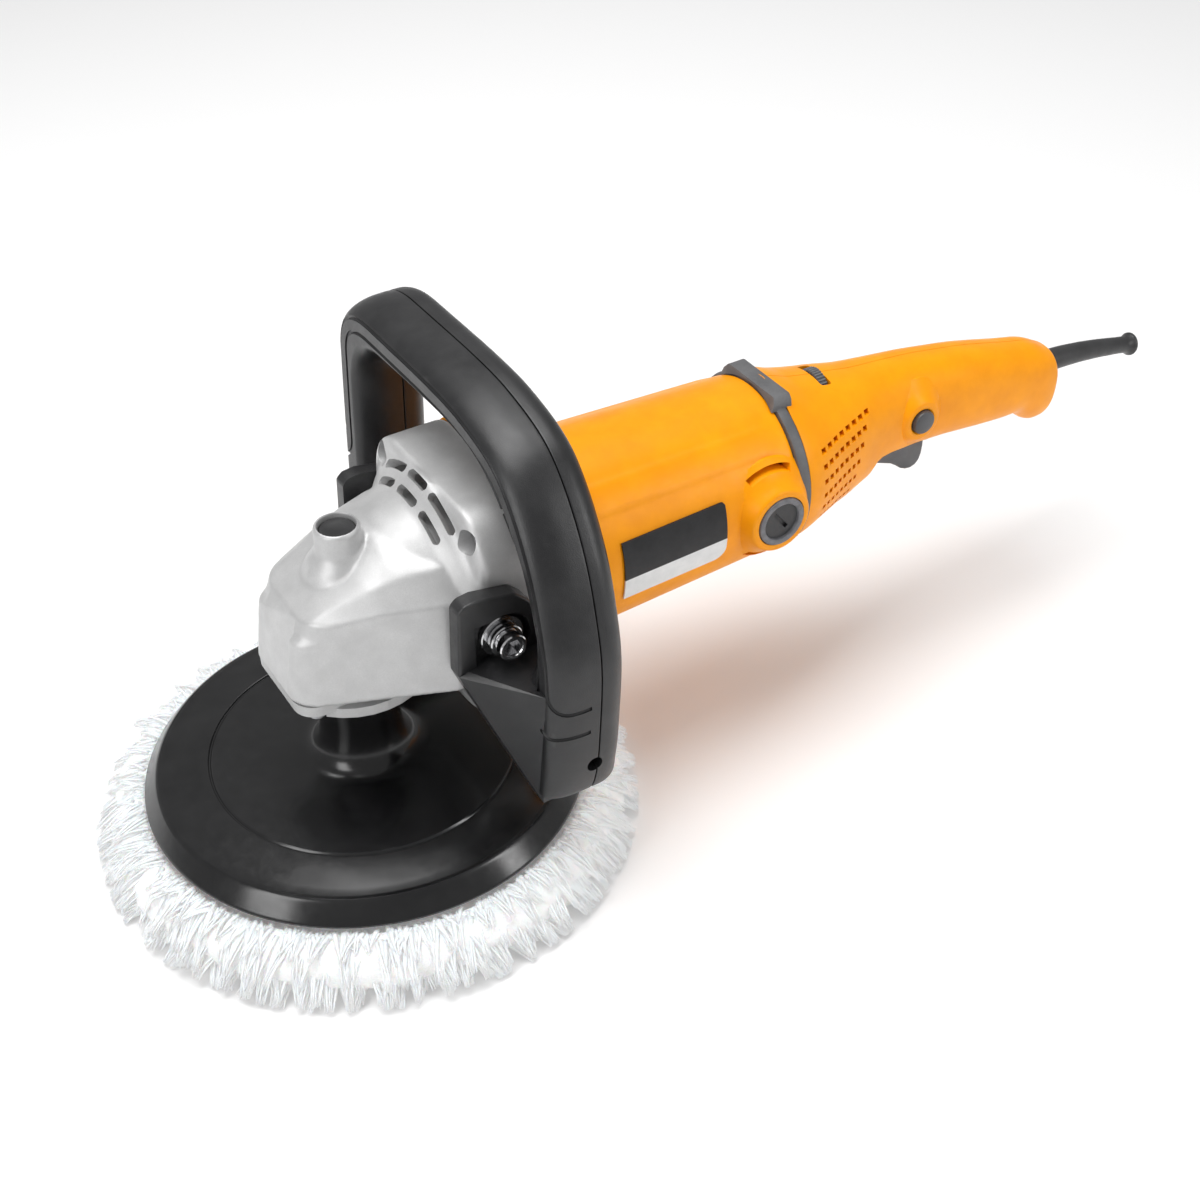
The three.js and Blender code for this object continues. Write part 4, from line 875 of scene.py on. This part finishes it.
# Inside the motor: laminated cores, enamelled copper and a moulded fan.
copper = metal("enamelled_copper", (0.42, 0.13, 0.05), (0.75, 0.3, 0.14), (0.25, 0.45), 0.5, 0.1)
laminations = metal(
    "laminations", (0.2, 0.2, 0.21), (0.42, 0.42, 0.43), (0.35, 0.5), 0.5, 0.06, (8, 1, 1),
)
brass = metal("brass", (0.5, 0.33, 0.08), (0.78, 0.56, 0.2))
graphite = plastic("graphite", (0.02, 0.02, 0.02), (0.045, 0.045, 0.045), (0.45, 0.65), 0.4, 0.06)
black_nylon = plastic(
    "black_nylon", (0.012, 0.012, 0.013), (0.022, 0.022, 0.023), (0.34, 0.48), 0.4, 0.06,
    worn=(0.12, 0.12, 0.12),
)
INNER = {
    "armature_core": laminations, "stator_core": laminations, "commutator": copper,
    "field_coil_upper": copper, "field_coil_lower": copper, "cooling_fan": black_nylon,
    "brush_holder_left": brass, "brush_holder_right": brass, "carbon_brush_left": graphite,
    "carbon_brush_right": graphite, "switch_body": black_nylon, "speed_controller": black_nylon,
    "cord_clamp": black_nylon,
}
for node, finish in INNER.items():
    dress_node(node, finish)
for node in (
    "armature_shaft", "armature_bearing_front", "armature_bearing_rear", "pinion_shaft",
    "pinion_bearing_front", "pinion_bearing_rear", "reduction_gear", "trigger_pin",
    "spindle_lock_pin", "spindle_lock_spring",
):
    dress_node(node, steel)
button = turned(
    "spindle_lock_cap",
    [
        (0, 141.3), (3.2, 141.3), (3.2, 139.4), (3.9, 139.4), (3.9, 141.4), (6, 141.4), (6, 139.4),
        (7, 139.4), (7, 142.2), (6.6, 142.8), (5.8, 143), (4, 142.7), (0, 142.3),
    ],
    around=72,
)
dress(button, black_nylon, "spindle_lock", "black_plastic", "spindle_lock_button")

# ---- Bumper ring -----------------------------------------------------------------------------
# A grey rubber band in the joint between the drum and the grip, with a faceted bar on top that
# the tool can lie on.
def eased_edges(piece, width, segments=3, angle=30):
    edge = piece.modifiers.new("edge", "BEVEL")
    edge.width = width * MM
    edge.segments = segments
    edge.limit_method = "ANGLE"
    edge.angle_limit = math.radians(angle)
    settle(piece)
    return piece


band = turned(
    "bumper",
    [(30, 187.5), (37.6, 187.5), (38.6, 187.8), (39, 188.6), (39, 191.6), (38.6, 192.4),
     (37.6, 192.7), (30, 192.7)],
    "x", (0, MOTOR_Z), 128,
)
BAR_FOOT = [(-18.7, 136), (18.7, 136), (17.8, 142), (16, 144.4), (-16, 144.4), (-17.8, 142)]
rest_bar = eased_edges(prism("x", BAR_FOOT, 184.8, 195.8), 0.9)
nose_line = [(150, 180), (150, 188.2), (144.4, 187.6), (137.2, 184.4), (134, 180)]
nose_cut = prism("y", nose_line, -30, 30)
fitted(rest_bar, [nose_cut])
fitted(band, [rest_bar], "UNION")
fitted(
    band,
    [
        bar("x", 29.9, 180, 200, (0, MOTOR_Z), 96),
        bar("x", 38.5, 180, 187.5, (0, MOTOR_Z), 128),
        bar("x", 38.4, 192.7, 200, (0, MOTOR_Z), 128),
    ],
)
band.name = "bumper_band"
grey_rubber = plastic(
    "grey_rubber", (0.075, 0.076, 0.08), (0.12, 0.12, 0.125), (0.42, 0.56), 0.5, 0.08,
    worn=(0.3, 0.3, 0.3),
)
dress(band, grey_rubber, "tool", "grey_rubber", "bumper_ring")

# ---- Rear handle -----------------------------------------------------------------------------
# Two orange nylon half shells, screwed together along the middle: a neck with rows of cooling
# holes, a slim grip with a stop for the little finger, and a boss for the lock-on button.
GRIP = [  # x, half width, top, bottom, squareness of the section
    (193, 38, 143, 67, 1), (197, 37.5, 142.5, 67.5, 1), (201, 36.5, 141.5, 68.5, 1),
    (207, 34.4, 139.9, 70.2, 0.99), (213, 32, 138.5, 71.5, 0.98), (219, 29.8, 137.3, 73, 0.965),
    (226, 27.5, 136.2, 74.2, 0.95), (233, 25.2, 134.8, 76.4, 0.935), (240, 23, 133.5, 78.5, 0.92),
    (255, 19.5, 132, 82.4, 0.9), (272, 17.2, 130, 85.2, 0.88), (286, 16.4, 127.6, 84.6, 0.87),
    (300, 16, 125, 83, 0.87), (315, 15.4, 121.4, 81.3, 0.87), (328, 14.9, 118, 80.4, 0.87),
    (333, 14.7, 116.8, 80.6, 0.87), (336.5, 14.5, 116, 79.4, 0.87), (340, 14.3, 115.2, 76.4, 0.87),
    (344, 14.1, 113.8, 73.4, 0.87), (348, 13.7, 111.9, 72.1, 0.87), (351.4, 13.1, 110, 72.1, 0.87),
    (353.6, 12.6, 108.9, 73.2, 0.87), (354.6, 11.8, 107.9, 74.8, 0.87),
    (355, 10.9, 107, 76.2, 0.87),
]


def eased(rows, at):
    """A smooth curve through rows keyed by their first number, without overshoot."""
    keys = [row[0] for row in rows]
    k = min(max(np.searchsorted(keys, at) - 1, 0), len(rows) - 2)

    def slope(i, column):
        if i in (0, len(rows) - 1):
            if i == 0:
                return 0
            return (rows[i][column] - rows[i - 1][column]) / (keys[i] - keys[i - 1])
        before = (rows[i][column] - rows[i - 1][column]) / (keys[i] - keys[i - 1])
        after = (rows[i + 1][column] - rows[i][column]) / (keys[i + 1] - keys[i])
        return 0 if before * after <= 0 else 2 * before * after / (before + after)

    span = keys[k + 1] - keys[k]
    t = (at - keys[k]) / span
    found = []
    for column in range(1, len(rows[0])):
        a, b = rows[k][column], rows[k + 1][column]
        found.append(
            a * (2 * t**3 - 3 * t**2 + 1) + b * (3 * t**2 - 2 * t**3)
            + slope(k, column) * span * (t**3 - 2 * t**2 + t)
            + slope(k + 1, column) * span * (t**3 - t**2)
        )
    return found


def grip_ring(x, inset=0, around=144):
    half, top, bottom, square = eased(GRIP, x)
    widest = between([(193, 105), (240, 105.5), (272, 107), (300, 104), (330, 98.5), (355, 95)], x)
    ring = []
    for k in range(around):
        angle = TAU * k / around
        c, s = math.cos(angle), math.sin(angle)
        y = math.copysign(abs(c) ** square, c) * (half - inset)
        height = (top if s > 0 else bottom) - widest - math.copysign(inset, s)
        z = widest + abs(s) ** square * height
        if x < 206 and s > 0 and abs(y) < 21 and not inset:
            z += 1.5 * (206 - x) / 13 * min(1, (21 - abs(y)) / 4)
        ring.append((x, y, z))
    return ring


shell = skinned(
    "shell",
    [
        grip_ring(x)
        for x in [193, *np.arange(194.5, 351, 1.9), 351.4, 352.6, 353.6, 354.3, 354.8, 355]
    ],
)
thumb_boss = turned(
    "thumb_boss",
    [
        (0, 6), (19, 6), (17.5, 12.6), (14.6, 15.2), (12.2, 17.3), (10.6, 19), (9.4, 20.1),
        (8.6, 20.6), (7.2, 20.7), (0, 20.7),
    ],
    "y", (266, 108), 96,
)
fitted(shell, [on_side(thumb_boss, -1)], "UNION")
cutters = [
    skinned("inside", [grip_ring(x, 3, 96) for x in [192, *np.arange(194, 351, 4), 351.5]]),
    on_side(
        turned(
            "well", [(0, 0), (5.8, 0), (5.8, 20.2), (6.8, 21), (6.8, 24), (0, 24)],
            "y", (266, 108), 72,
        ),
        -1,
    ),
    bar("x", 5.8, 340, 360, (0, 98), 48),
]
for low, high, width in (
    ((217.9, -8.9, 120), (223.5, 8.9, 150), 1.2), ((240.6, -10.4, 60), (279.4, 10.4, 100), 1.6),
):
    cutters.append(eased_edges(box(low, high), width))
# Cooling holes: six rows of eight on each flank, climbing to the rear.
TRIGGER_EDGE = [
    (237.6, 60), (237.6, 76), (239, 86), (240.4, 92.8), (242, 96.2), (244.8, 97.2),
    (252, 96.2), (262, 93.6), (272, 90.8), (279.4, 89), (279.4, 60),
]
cutters.append(prism("y", [(z, x) for x, z in TRIGGER_EDGE], -30, 30))
HOLE_ROWS = [
    ((203, 121.6), (234, 123.6)), ((202.6, 115.4), (231, 118.4)), ((202.6, 108.9), (228.4, 112.2)),
    ((202.8, 102), (226, 105.4)), ((203.4, 95), (224.6, 98.2)), ((204.6, 88), (223, 90.6)),
]
for (x0, z0), (x1, z1) in HOLE_ROWS:
    for k in range(8):
        x, z = x0 + (x1 - x0) * k / 7, z0 + (z1 - z0) * k / 7
        wide = (x1 - x0) / 7 * 0.31
        for y0, y1 in ((-60, -12), (12, 60)):
            cutters.append(box((x - wide, y0, z - 1.15), (x + wide, y1, z + 1.15)))
shell.data.name = "shell"
holes = joined("holes", *cutters[6:])
fitted(shell, [*cutters[:6], holes])
for word, low, high in (("right", -60, -0.15), ("left", 0.15, 60)):
    half = shell.copy()
    half.data = shell.data.copy()
    half.name = f"rear_grip_shell_{word}"
    bpy.context.scene.collection.objects.link(half)
    fitted(half, [box((150, low, 0), (400, high, 200))], "INTERSECT")
    dress(half, orange_nylon, "tool", "orange_plastic", f"rear_handle_{word}")
bpy.data.objects.remove(shell)

# Speed wheel: a ribbed grey wheel that shows through the slot on top.
WHEEL_RADIUS, WHEEL_Z, WHEEL_POINTS = 8.6, 130, 144
wheel_ring = [WHEEL_RADIUS - (0.5 if k % 4 in (2, 3) else 0) for k in range(WHEEL_POINTS)]
wheel = skinned(
    "speed_wheel",
    [
        [
            (x, (reach - drop) * math.cos(TAU * k / WHEEL_POINTS),
             WHEEL_Z + (reach - drop) * math.sin(TAU * k / WHEEL_POINTS))
            for k, reach in enumerate(wheel_ring)
        ]
        for x, drop in ((218.5, 0.5), (218.9, 0), (222.5, 0), (222.9, 0.5))
    ],
)
dress(wheel, grey_rubber, "dial", "grey_rubber", "speed_dial")

# Trigger: a grey paddle on a cross pin, hooked at its tail for the fingertip.
TRIGGER = [
    (250, 99.4), (244.4, 99.4), (241.6, 96.5), (241.8, 90.4), (245.4, 86.8), (251.6, 84.9),
    (256.4, 83), (260.4, 81.4), (263.6, 79.2), (266.4, 76.8), (269.2, 75.4), (272, 75),
    (274.8, 75.9), (276.8, 78), (277.8, 81), (278.3, 85), (278.3, 96),
]
paddle = eased_edges(prism("y", [(z, x) for x, z in TRIGGER], -10, 10), 1.6, 4, 50)
fitted(paddle, [bar("y", 1.8, -12, 12, (247, 94.5), 32)])
paddle.name = "trigger_paddle"
dress(paddle, grey_rubber, "trigger", "grey_plastic", "trigger")

lock_on = turned(
    "lock_on_cap",
    [
        (0, 13), (5.2, 13), (5.5, 13.3), (5.5, 21.6), (5.1, 22.3), (4.2, 22.7), (2.2, 22.8),
        (0, 22.8),
    ],
    "y", (266, 108), 72,
)
button_grey = plastic(
    "button_grey", (0.05, 0.051, 0.055), (0.08, 0.081, 0.086), (0.3, 0.42), 0.4, 0.05,
)
dress(on_side(lock_on, -1), button_grey, "lock_on", "black_plastic", "lock_on_button")

# Cord guard: a soft black sleeve, clamped in the rear wall and flared at its open mouth.
GUARD_START, GUARD_END = 347.2, 413
GUARD_LINE = [
    (GUARD_START, 98), (354, 98.1), (362, 98), (375, 96.9), (388, 95), (401, 92.5), (GUARD_END, 90),
]
GUARD_SKIN = [  # distance share along the sleeve, radius outside, radius inside
    (0, 6.6, 2.6), (0.05, 6.6, 2.6), (0.055, 5.5, 2.6), (0.1, 5.4, 2.6), (0.3, 5.1, 2.6),
    (0.6, 4.5, 2.6), (0.86, 4.0, 2.6), (0.93, 3.95, 2.6), (0.955, 4.3, 2.9), (0.975, 5.1, 3.4),
    (0.985, 5.45, 3.8), (0.995, 5.45, 4.1), (1, 5.1, 4.3),
]


def guard_ring(share, radius, around=48):
    x = GUARD_START + (GUARD_END - GUARD_START) * share
    (z,) = eased(GUARD_LINE, x)
    (ahead,) = eased(GUARD_LINE, min(GUARD_END, x + 0.5))
    lean = math.atan2(ahead - z, 0.5) if x < GUARD_END - 0.6 else math.atan2(-2.5, 12)
    return [
        (
            x - radius * math.sin(TAU * k / around) * math.sin(lean),
            radius * math.cos(TAU * k / around),
            z + radius * math.sin(TAU * k / around) * math.cos(lean),
        )
        for k in range(around)
    ]


guard_rings, inner_rings = [], []
for share in sorted({row[0] for row in GUARD_SKIN} | set(np.linspace(0.1, 0.93, 40))):
    outer = between([(row[0], row[1]) for row in GUARD_SKIN], share)
    inner = between([(row[0], row[2]) for row in GUARD_SKIN], share)
    guard_rings.append(guard_ring(share, outer))
    inner_rings.append(guard_ring(share, inner))
sleeve = new_piece(
    "cord_guard_sleeve",
    [p for ring in guard_rings + inner_rings[::-1] for p in ring],
    [
        (step * 48 + k, step * 48 + (k + 1) % 48,
         (step + 1) % (2 * len(guard_rings)) * 48 + (k + 1) % 48,
         (step + 1) % (2 * len(guard_rings)) * 48 + k)
        for step in range(2 * len(guard_rings)) for k in range(48)
    ],
)
dark_rubber = plastic(
    "dark_rubber", (0.02, 0.02, 0.021), (0.036, 0.036, 0.037), (0.34, 0.48), 0.5, 0.06,
    worn=(0.14, 0.14, 0.14),
)
dress(sleeve, dark_rubber, "tool", "dark_rubber", "cord_guard")

# ---- Loop handle -----------------------------------------------------------------------------
# Two black nylon halves that meet on a leaning plane: an arch over the shoulder, feet that step
# in to brackets on the gear head's flanks, and thin grooves that bound the grip.
LOOP_FRONT, LOOP_SPLIT, LOOP_REAR = 38, 58.5, 70
CROWN_DEPTH, CROWN_INSET = 15, 7


def bend(*corners, steps=10):
    """Points on a quadratic or cubic curve, without its first point."""
    made = []
    for k in range(1, steps + 1):
        t, row = k / steps, [Vector(c) for c in corners]
        while len(row) > 1:
            row = [a.lerp(b, t) for a, b in zip(row, row[1:])]
        made.append(tuple(row[0]))
    return made


def through(*knots, steps=8):
    """Points on a smooth line through knots, without the first."""
    padded = [knots[0], *knots, knots[-1]]
    made = []
    for p0, p1, p2, p3 in zip(padded, padded[1:], padded[2:], padded[3:]):
        a, b, c, d = (Vector(p) for p in (p0, p1, p2, p3))
        for k in range(1, steps + 1):
            t = k / steps
            twice = 2 * b + (c - a) * t + (2 * a - 5 * b + 4 * c - d) * t**2
            made.append(tuple(0.5 * (twice + (3 * b - 3 * c + d - a) * t**3)))
    return made


arch = [(-88, 72)]
arch += through(
    (-88, 72), (-86.5, 105), (-80, 127), (-70, 147.6), (-55, 166.6), (-38, 179), (-12, 185.6),
    (14, 187.4), (50, 187.2), (66, 187),
)
arch += bend((66, 187), (83, 186.6), (96.5, 180), (97, 162), steps=18)
arch += through((97, 162), (94.6, 128), (91, 92))
outline = [(-38, 84), (-45.3, 84), (-74, 48.5)]
outline += bend((-74, 48.5), (-76, 46.5), (-80, 47), steps=5) + [(-84.5, 49)]
outline += bend((-84.5, 49), (-88, 56), (-88, 72), steps=6)[:-1] + arch
outline += bend((91, 92), (89, 56), (84.5, 49), steps=14) + [(80, 47)]
outline += bend((80, 47), (76, 46.5), (74, 48.5), steps=5)
outline += [(45.3, 84), (38, 84), (38, 100), (58, 100)]
outline += bend((58, 100), (70, 100), (72, 114)) + [(75, 150)]
outline += bend((75, 150), (75, 167), (58, 168), steps=12)
outline += [(30, 169)]
outline += through((30, 169), (-1, 169), (-24, 165), (-45, 151), (-57, 138), (-67, 118.5))
outline += bend((-67, 118.5), (-71, 100), (-58, 100), steps=10) + [(-38, 100)]


def evened(path, gap, closed=True):
    """The same path with points every `gap` mm."""
    ends = path + path[:1] if closed else path
    flat = np.array(ends, float)
    run = np.concatenate([[0], np.cumsum(np.linalg.norm(np.diff(flat, axis=0), axis=1))])
    count = int(run[-1] / gap)
    at = np.linspace(0, run[-1], count, endpoint=not closed)
    return np.stack([np.interp(at, run, flat[:, k]) for k in range(2)], 1)


def inward(path, closed=True):
    """Unit normals of a clockwise path, towards its inside."""
    if closed:
        ahead, behind = np.roll(path, -2, 0), np.roll(path, 2, 0)
        along = ahead - behind
    else:
        along = np.gradient(path, axis=0)
    along /= np.linalg.norm(along, axis=1)[:, None]
    return np.stack([along[:, 1], -along[:, 0]], 1)


def leaned(x, z):
    return x + 0.08 * (z - 60)


rim = evened(outline, 1.6)
toward = inward(rim)
loop_rings = []
for step in range(13):
    turn = math.pi / 2 * step / 12
    loop_rings.append((
        LOOP_FRONT + CROWN_DEPTH * (1 - math.sin(turn)), CROWN_INSET * (1 - math.cos(turn)),
    ))
section = loop_rings[::-1]
section += [(LOOP_SPLIT - 1.2, 0), (LOOP_SPLIT - 0.45, 0.12), (LOOP_SPLIT - 0.15, 0.55)]
REAR_SHARE = (LOOP_REAR - LOOP_SPLIT) / (LOOP_SPLIT - LOOP_FRONT)
rear_section = [(LOOP_SPLIT + (LOOP_SPLIT - x) * REAR_SHARE, inset) for x, inset in section[::-1]]


def room_inside(path, normals, wanted):
    """How much of the wanted inset fits at each point before the path would cross itself."""
    along = np.roll(path, -2, 0) - np.roll(path, 2, 0)
    swing = np.roll(normals, -2, 0) - np.roll(normals, 2, 0)
    closing = -(along * swing).sum(1) / (along * along).sum(1)
    room = np.minimum(1, 0.7 / np.maximum(closing, 1e-6) / wanted)
    for _ in range(3):
        room = np.minimum(room, np.minimum(np.roll(room, 1), np.roll(room, -1)))
    for _ in range(4):
        room = (np.roll(room, 1) + room + np.roll(room, -1)) / 3
    return room


room = room_inside(rim, toward, CROWN_INSET)


def loop_half(name, stations):
    rings = [
        [
            (leaned(x, spot[1]), *spot)
            for spot in rim + toward * (room * inset)[:, None]
        ]
        for x, inset in stations
    ]
    if stations[0][0] < stations[-1][0]:
        rings = [ring[::-1] for ring in rings]
    return skinned(name, rings)


front_loop = loop_half("loop_half_front", section)
rear_loop = loop_half("loop_half_rear", rear_section)
BRACKET = [
    (20.5, 98), (27, 84), (56, 84), (56, 110), (54.4, 117), (51, 122.4), (46, 127), (30, 130),
    (24.6, 129.4), (22, 127),
]
WASHER_SEAT = 48.2
FOOT_TOP = 99.4
FOOT = [
    (x, y, z) for y in (43, 52.3)
    for x, z in ((20.5, 98), (24.1, FOOT_TOP), (27, 84), (56, 84), (56, FOOT_TOP))
]
FOOT += [
    (x, y, z) for y in (74, 80.8)
    for x, z in ((38.3, 47.4), (55.6, 47.4), (57, FOOT_TOP), (41, FOOT_TOP))
]


def hulled(name, points):
    """The tightest flat-faced skin round some points."""
    skin = bmesh.new()
    for point in points:
        skin.verts.new([c * MM for c in point])
    bmesh.ops.convex_hull(skin, input=skin.verts)
    piece = new_piece(name, [], [])
    skin.to_mesh(piece.data)
    skin.free()
    return piece


for side in (-1, 1):
    bracket = eased_edges(prism("y", [(z, x) for x, z in BRACKET], 43, 52.3), 1.1, angle=20)
    foot = eased_edges(hulled("foot", FOOT), 1.6, angle=20)
    fitted(front_loop, [on_side(bracket, side), on_side(foot, side)], "UNION")
    bowl = fitted(
        bar("y", 10.8, WASHER_SEAT, 60, (BOLT_X, BOLT_Z), 64),
        [box((28, 48.2, 90), (BOLT_X, 60, BOLT_Z + 9.6))], "UNION",
    )
    fitted(bowl, [box((0, 0, FOOT_TOP), (100, 100, 160))], "INTERSECT")
    hole = bar("y", 4.3, 40, 60, (BOLT_X, BOLT_Z), 32)
    fitted(front_loop, [on_side(bowl, side), on_side(hole, side)])
for half in (front_loop, rear_loop):
    fitted(half, [box((0, -45.3, 60), (110, 45.3, 160))])
    for side in (-1, 1):
        fitted(half, [on_side(bar("y", 3.3, 72, 96, (62.3 - 5, 63.7), 32), side)])


# Grooves that bound the grip: cut along the arch, and turned across its foot to the joint.
def on_section(spot, normal, q):
    """A point on the front half's skin: q mm from the crown's edge, inwards if below 0."""
    if q < 0:
        x, inset = LOOP_FRONT, CROWN_INSET - q
    else:
        walk, x, inset = 0, *section[0]
        for nx, ninset in section[1:]:
            leg = math.hypot(nx - x, ninset - inset)
            if walk + leg >= q:
                share = (q - walk) / leg
                x, inset = x + share * (nx - x), inset + share * (ninset - inset)
                break
            walk, x, inset = walk + leg, nx, ninset
    y, z = spot + normal * inset
    return Vector((leaned(x, z), y, z))


grip_line = evened(arch, 1.5, closed=False)
grip_in = inward(grip_line, closed=False)


def groove(q_run, near_end, far_end, turn, radius):
    """A round-bottomed groove at q along the arch, turning to the joint at each end."""
    last = len(grip_line) - 1
    run = np.concatenate([[0], np.cumsum(np.linalg.norm(np.diff(grip_line, axis=0), axis=1))])
    path = []
    for end in (0, 1):
        arc = []
        stop = near_end if end == 0 else run[-1] - far_end
        for k in range(13):
            angle = math.pi / 2 * k / 12
            along = turn * (1 - math.sin(angle))
            arc.append((
                stop + along if end == 0 else stop - along, q_run + turn * (1 - math.cos(angle)),
            ))
        arc = arc[::-1] if end == 0 else arc
        tail = [(stop, q) for q in np.arange(24, q_run + turn, -1.5)]
        path.append(tail + arc[::1] if end == 0 else arc + tail[::-1])
    middle = [(s, q_run) for s in np.arange(near_end + turn + 2, run[-1] - far_end - turn - 2, 2.5)]
    walked = path[0] + middle + path[1]
    spots = []
    for s, q in walked:
        at = np.interp(s, run, np.arange(last + 1))
        k = min(int(at), last - 1)
        f = at - k
        spots.append(
            on_section(
                grip_line[k] * (1 - f) + grip_line[k + 1] * f,
                grip_in[k] * (1 - f) + grip_in[k + 1] * f, min(q, 19),
            )
        )
    rings = []
    for k, spot in enumerate(spots):
        line = (spots[min(k + 1, len(spots) - 1)] - spots[max(k - 1, 0)]).normalized()
        if line.length < 0.5:
            continue
        side = line.cross(Vector((1, 0.3, 0.2))).normalized()
        up = line.cross(side)
        rings.append([
            tuple(spot + (side * math.cos(TAU * j / 6) + up * math.sin(TAU * j / 6)) * radius)
            for j in range(6)
        ])
    return skinned("groove", rings)


for q_run, near_end, far_end in ((1.2, 20, 24), (-4.6, 9, 18)):
    fitted(front_loop, [groove(q_run, near_end, far_end, 10, 0.95)])
loop_black = plastic(
    "loop_black", (0.01, 0.01, 0.011), (0.019, 0.019, 0.02), (0.3, 0.42), 0.4, 0.07,
    worn=(0.07, 0.07, 0.07), coat_weight=0.1, coat_roughness=0.3,
)
dress(front_loop, loop_black, "tool", "black_plastic", "loop_handle_front")
dress(rear_loop, loop_black, "tool", "black_plastic", "loop_handle_rear")

# Handle bolts: chromed socket screws with a deep round head, over a turned washer.
chrome = metal("chrome", (0.5, 0.5, 0.51), (0.78, 0.78, 0.79), (0.08, 0.2), 1.2, 0.01)
for side, word in ((-1, "right"), (1, "left")):
    bolt = turned(
        "bolt",
        [
            (0, 27), (3.6, 27), (4, 27.6), (4, 51.3), (6.4, 51.3), (6.8, 51.7), (6.8, 54.2),
            (6.4, 54.6),
            (5.2, 54.8), (5.2, 56), (5.6, 56.3), (5.6, 59), (5.2, 59.5), (4.6, 59.6), (4.1, 59.4),
            (3.9, 59), (0, 59),
        ],
        "y", (BOLT_X, BOLT_Z), 72,
    )
    socket = prism(
        "y",
        [
            (BOLT_Z + 3.5 * math.sin(TAU * k / 6), BOLT_X + 3.5 * math.cos(TAU * k / 6))
            for k in range(6)
        ],
        55.2, 68,
    )
    fitted(bolt, [socket])
    bolt.name = f"handle_screw_{word}"
    dress(on_side(bolt, side), chrome, "tool", "chrome", f"handle_bolt_{word}")
    washer = turned(
        f"handle_screw_washer_{word}",
        [(4.3, 48.5), (8.7, 48.5), (9, 48.8), (9, 50.6), (8.6, 51), (4.6, 51), (4.3, 50.7)],
        "y", (BOLT_X, BOLT_Z), 72,
    )
    dress(on_side(washer, side), chrome, "tool", "chrome", f"handle_washer_{word}")
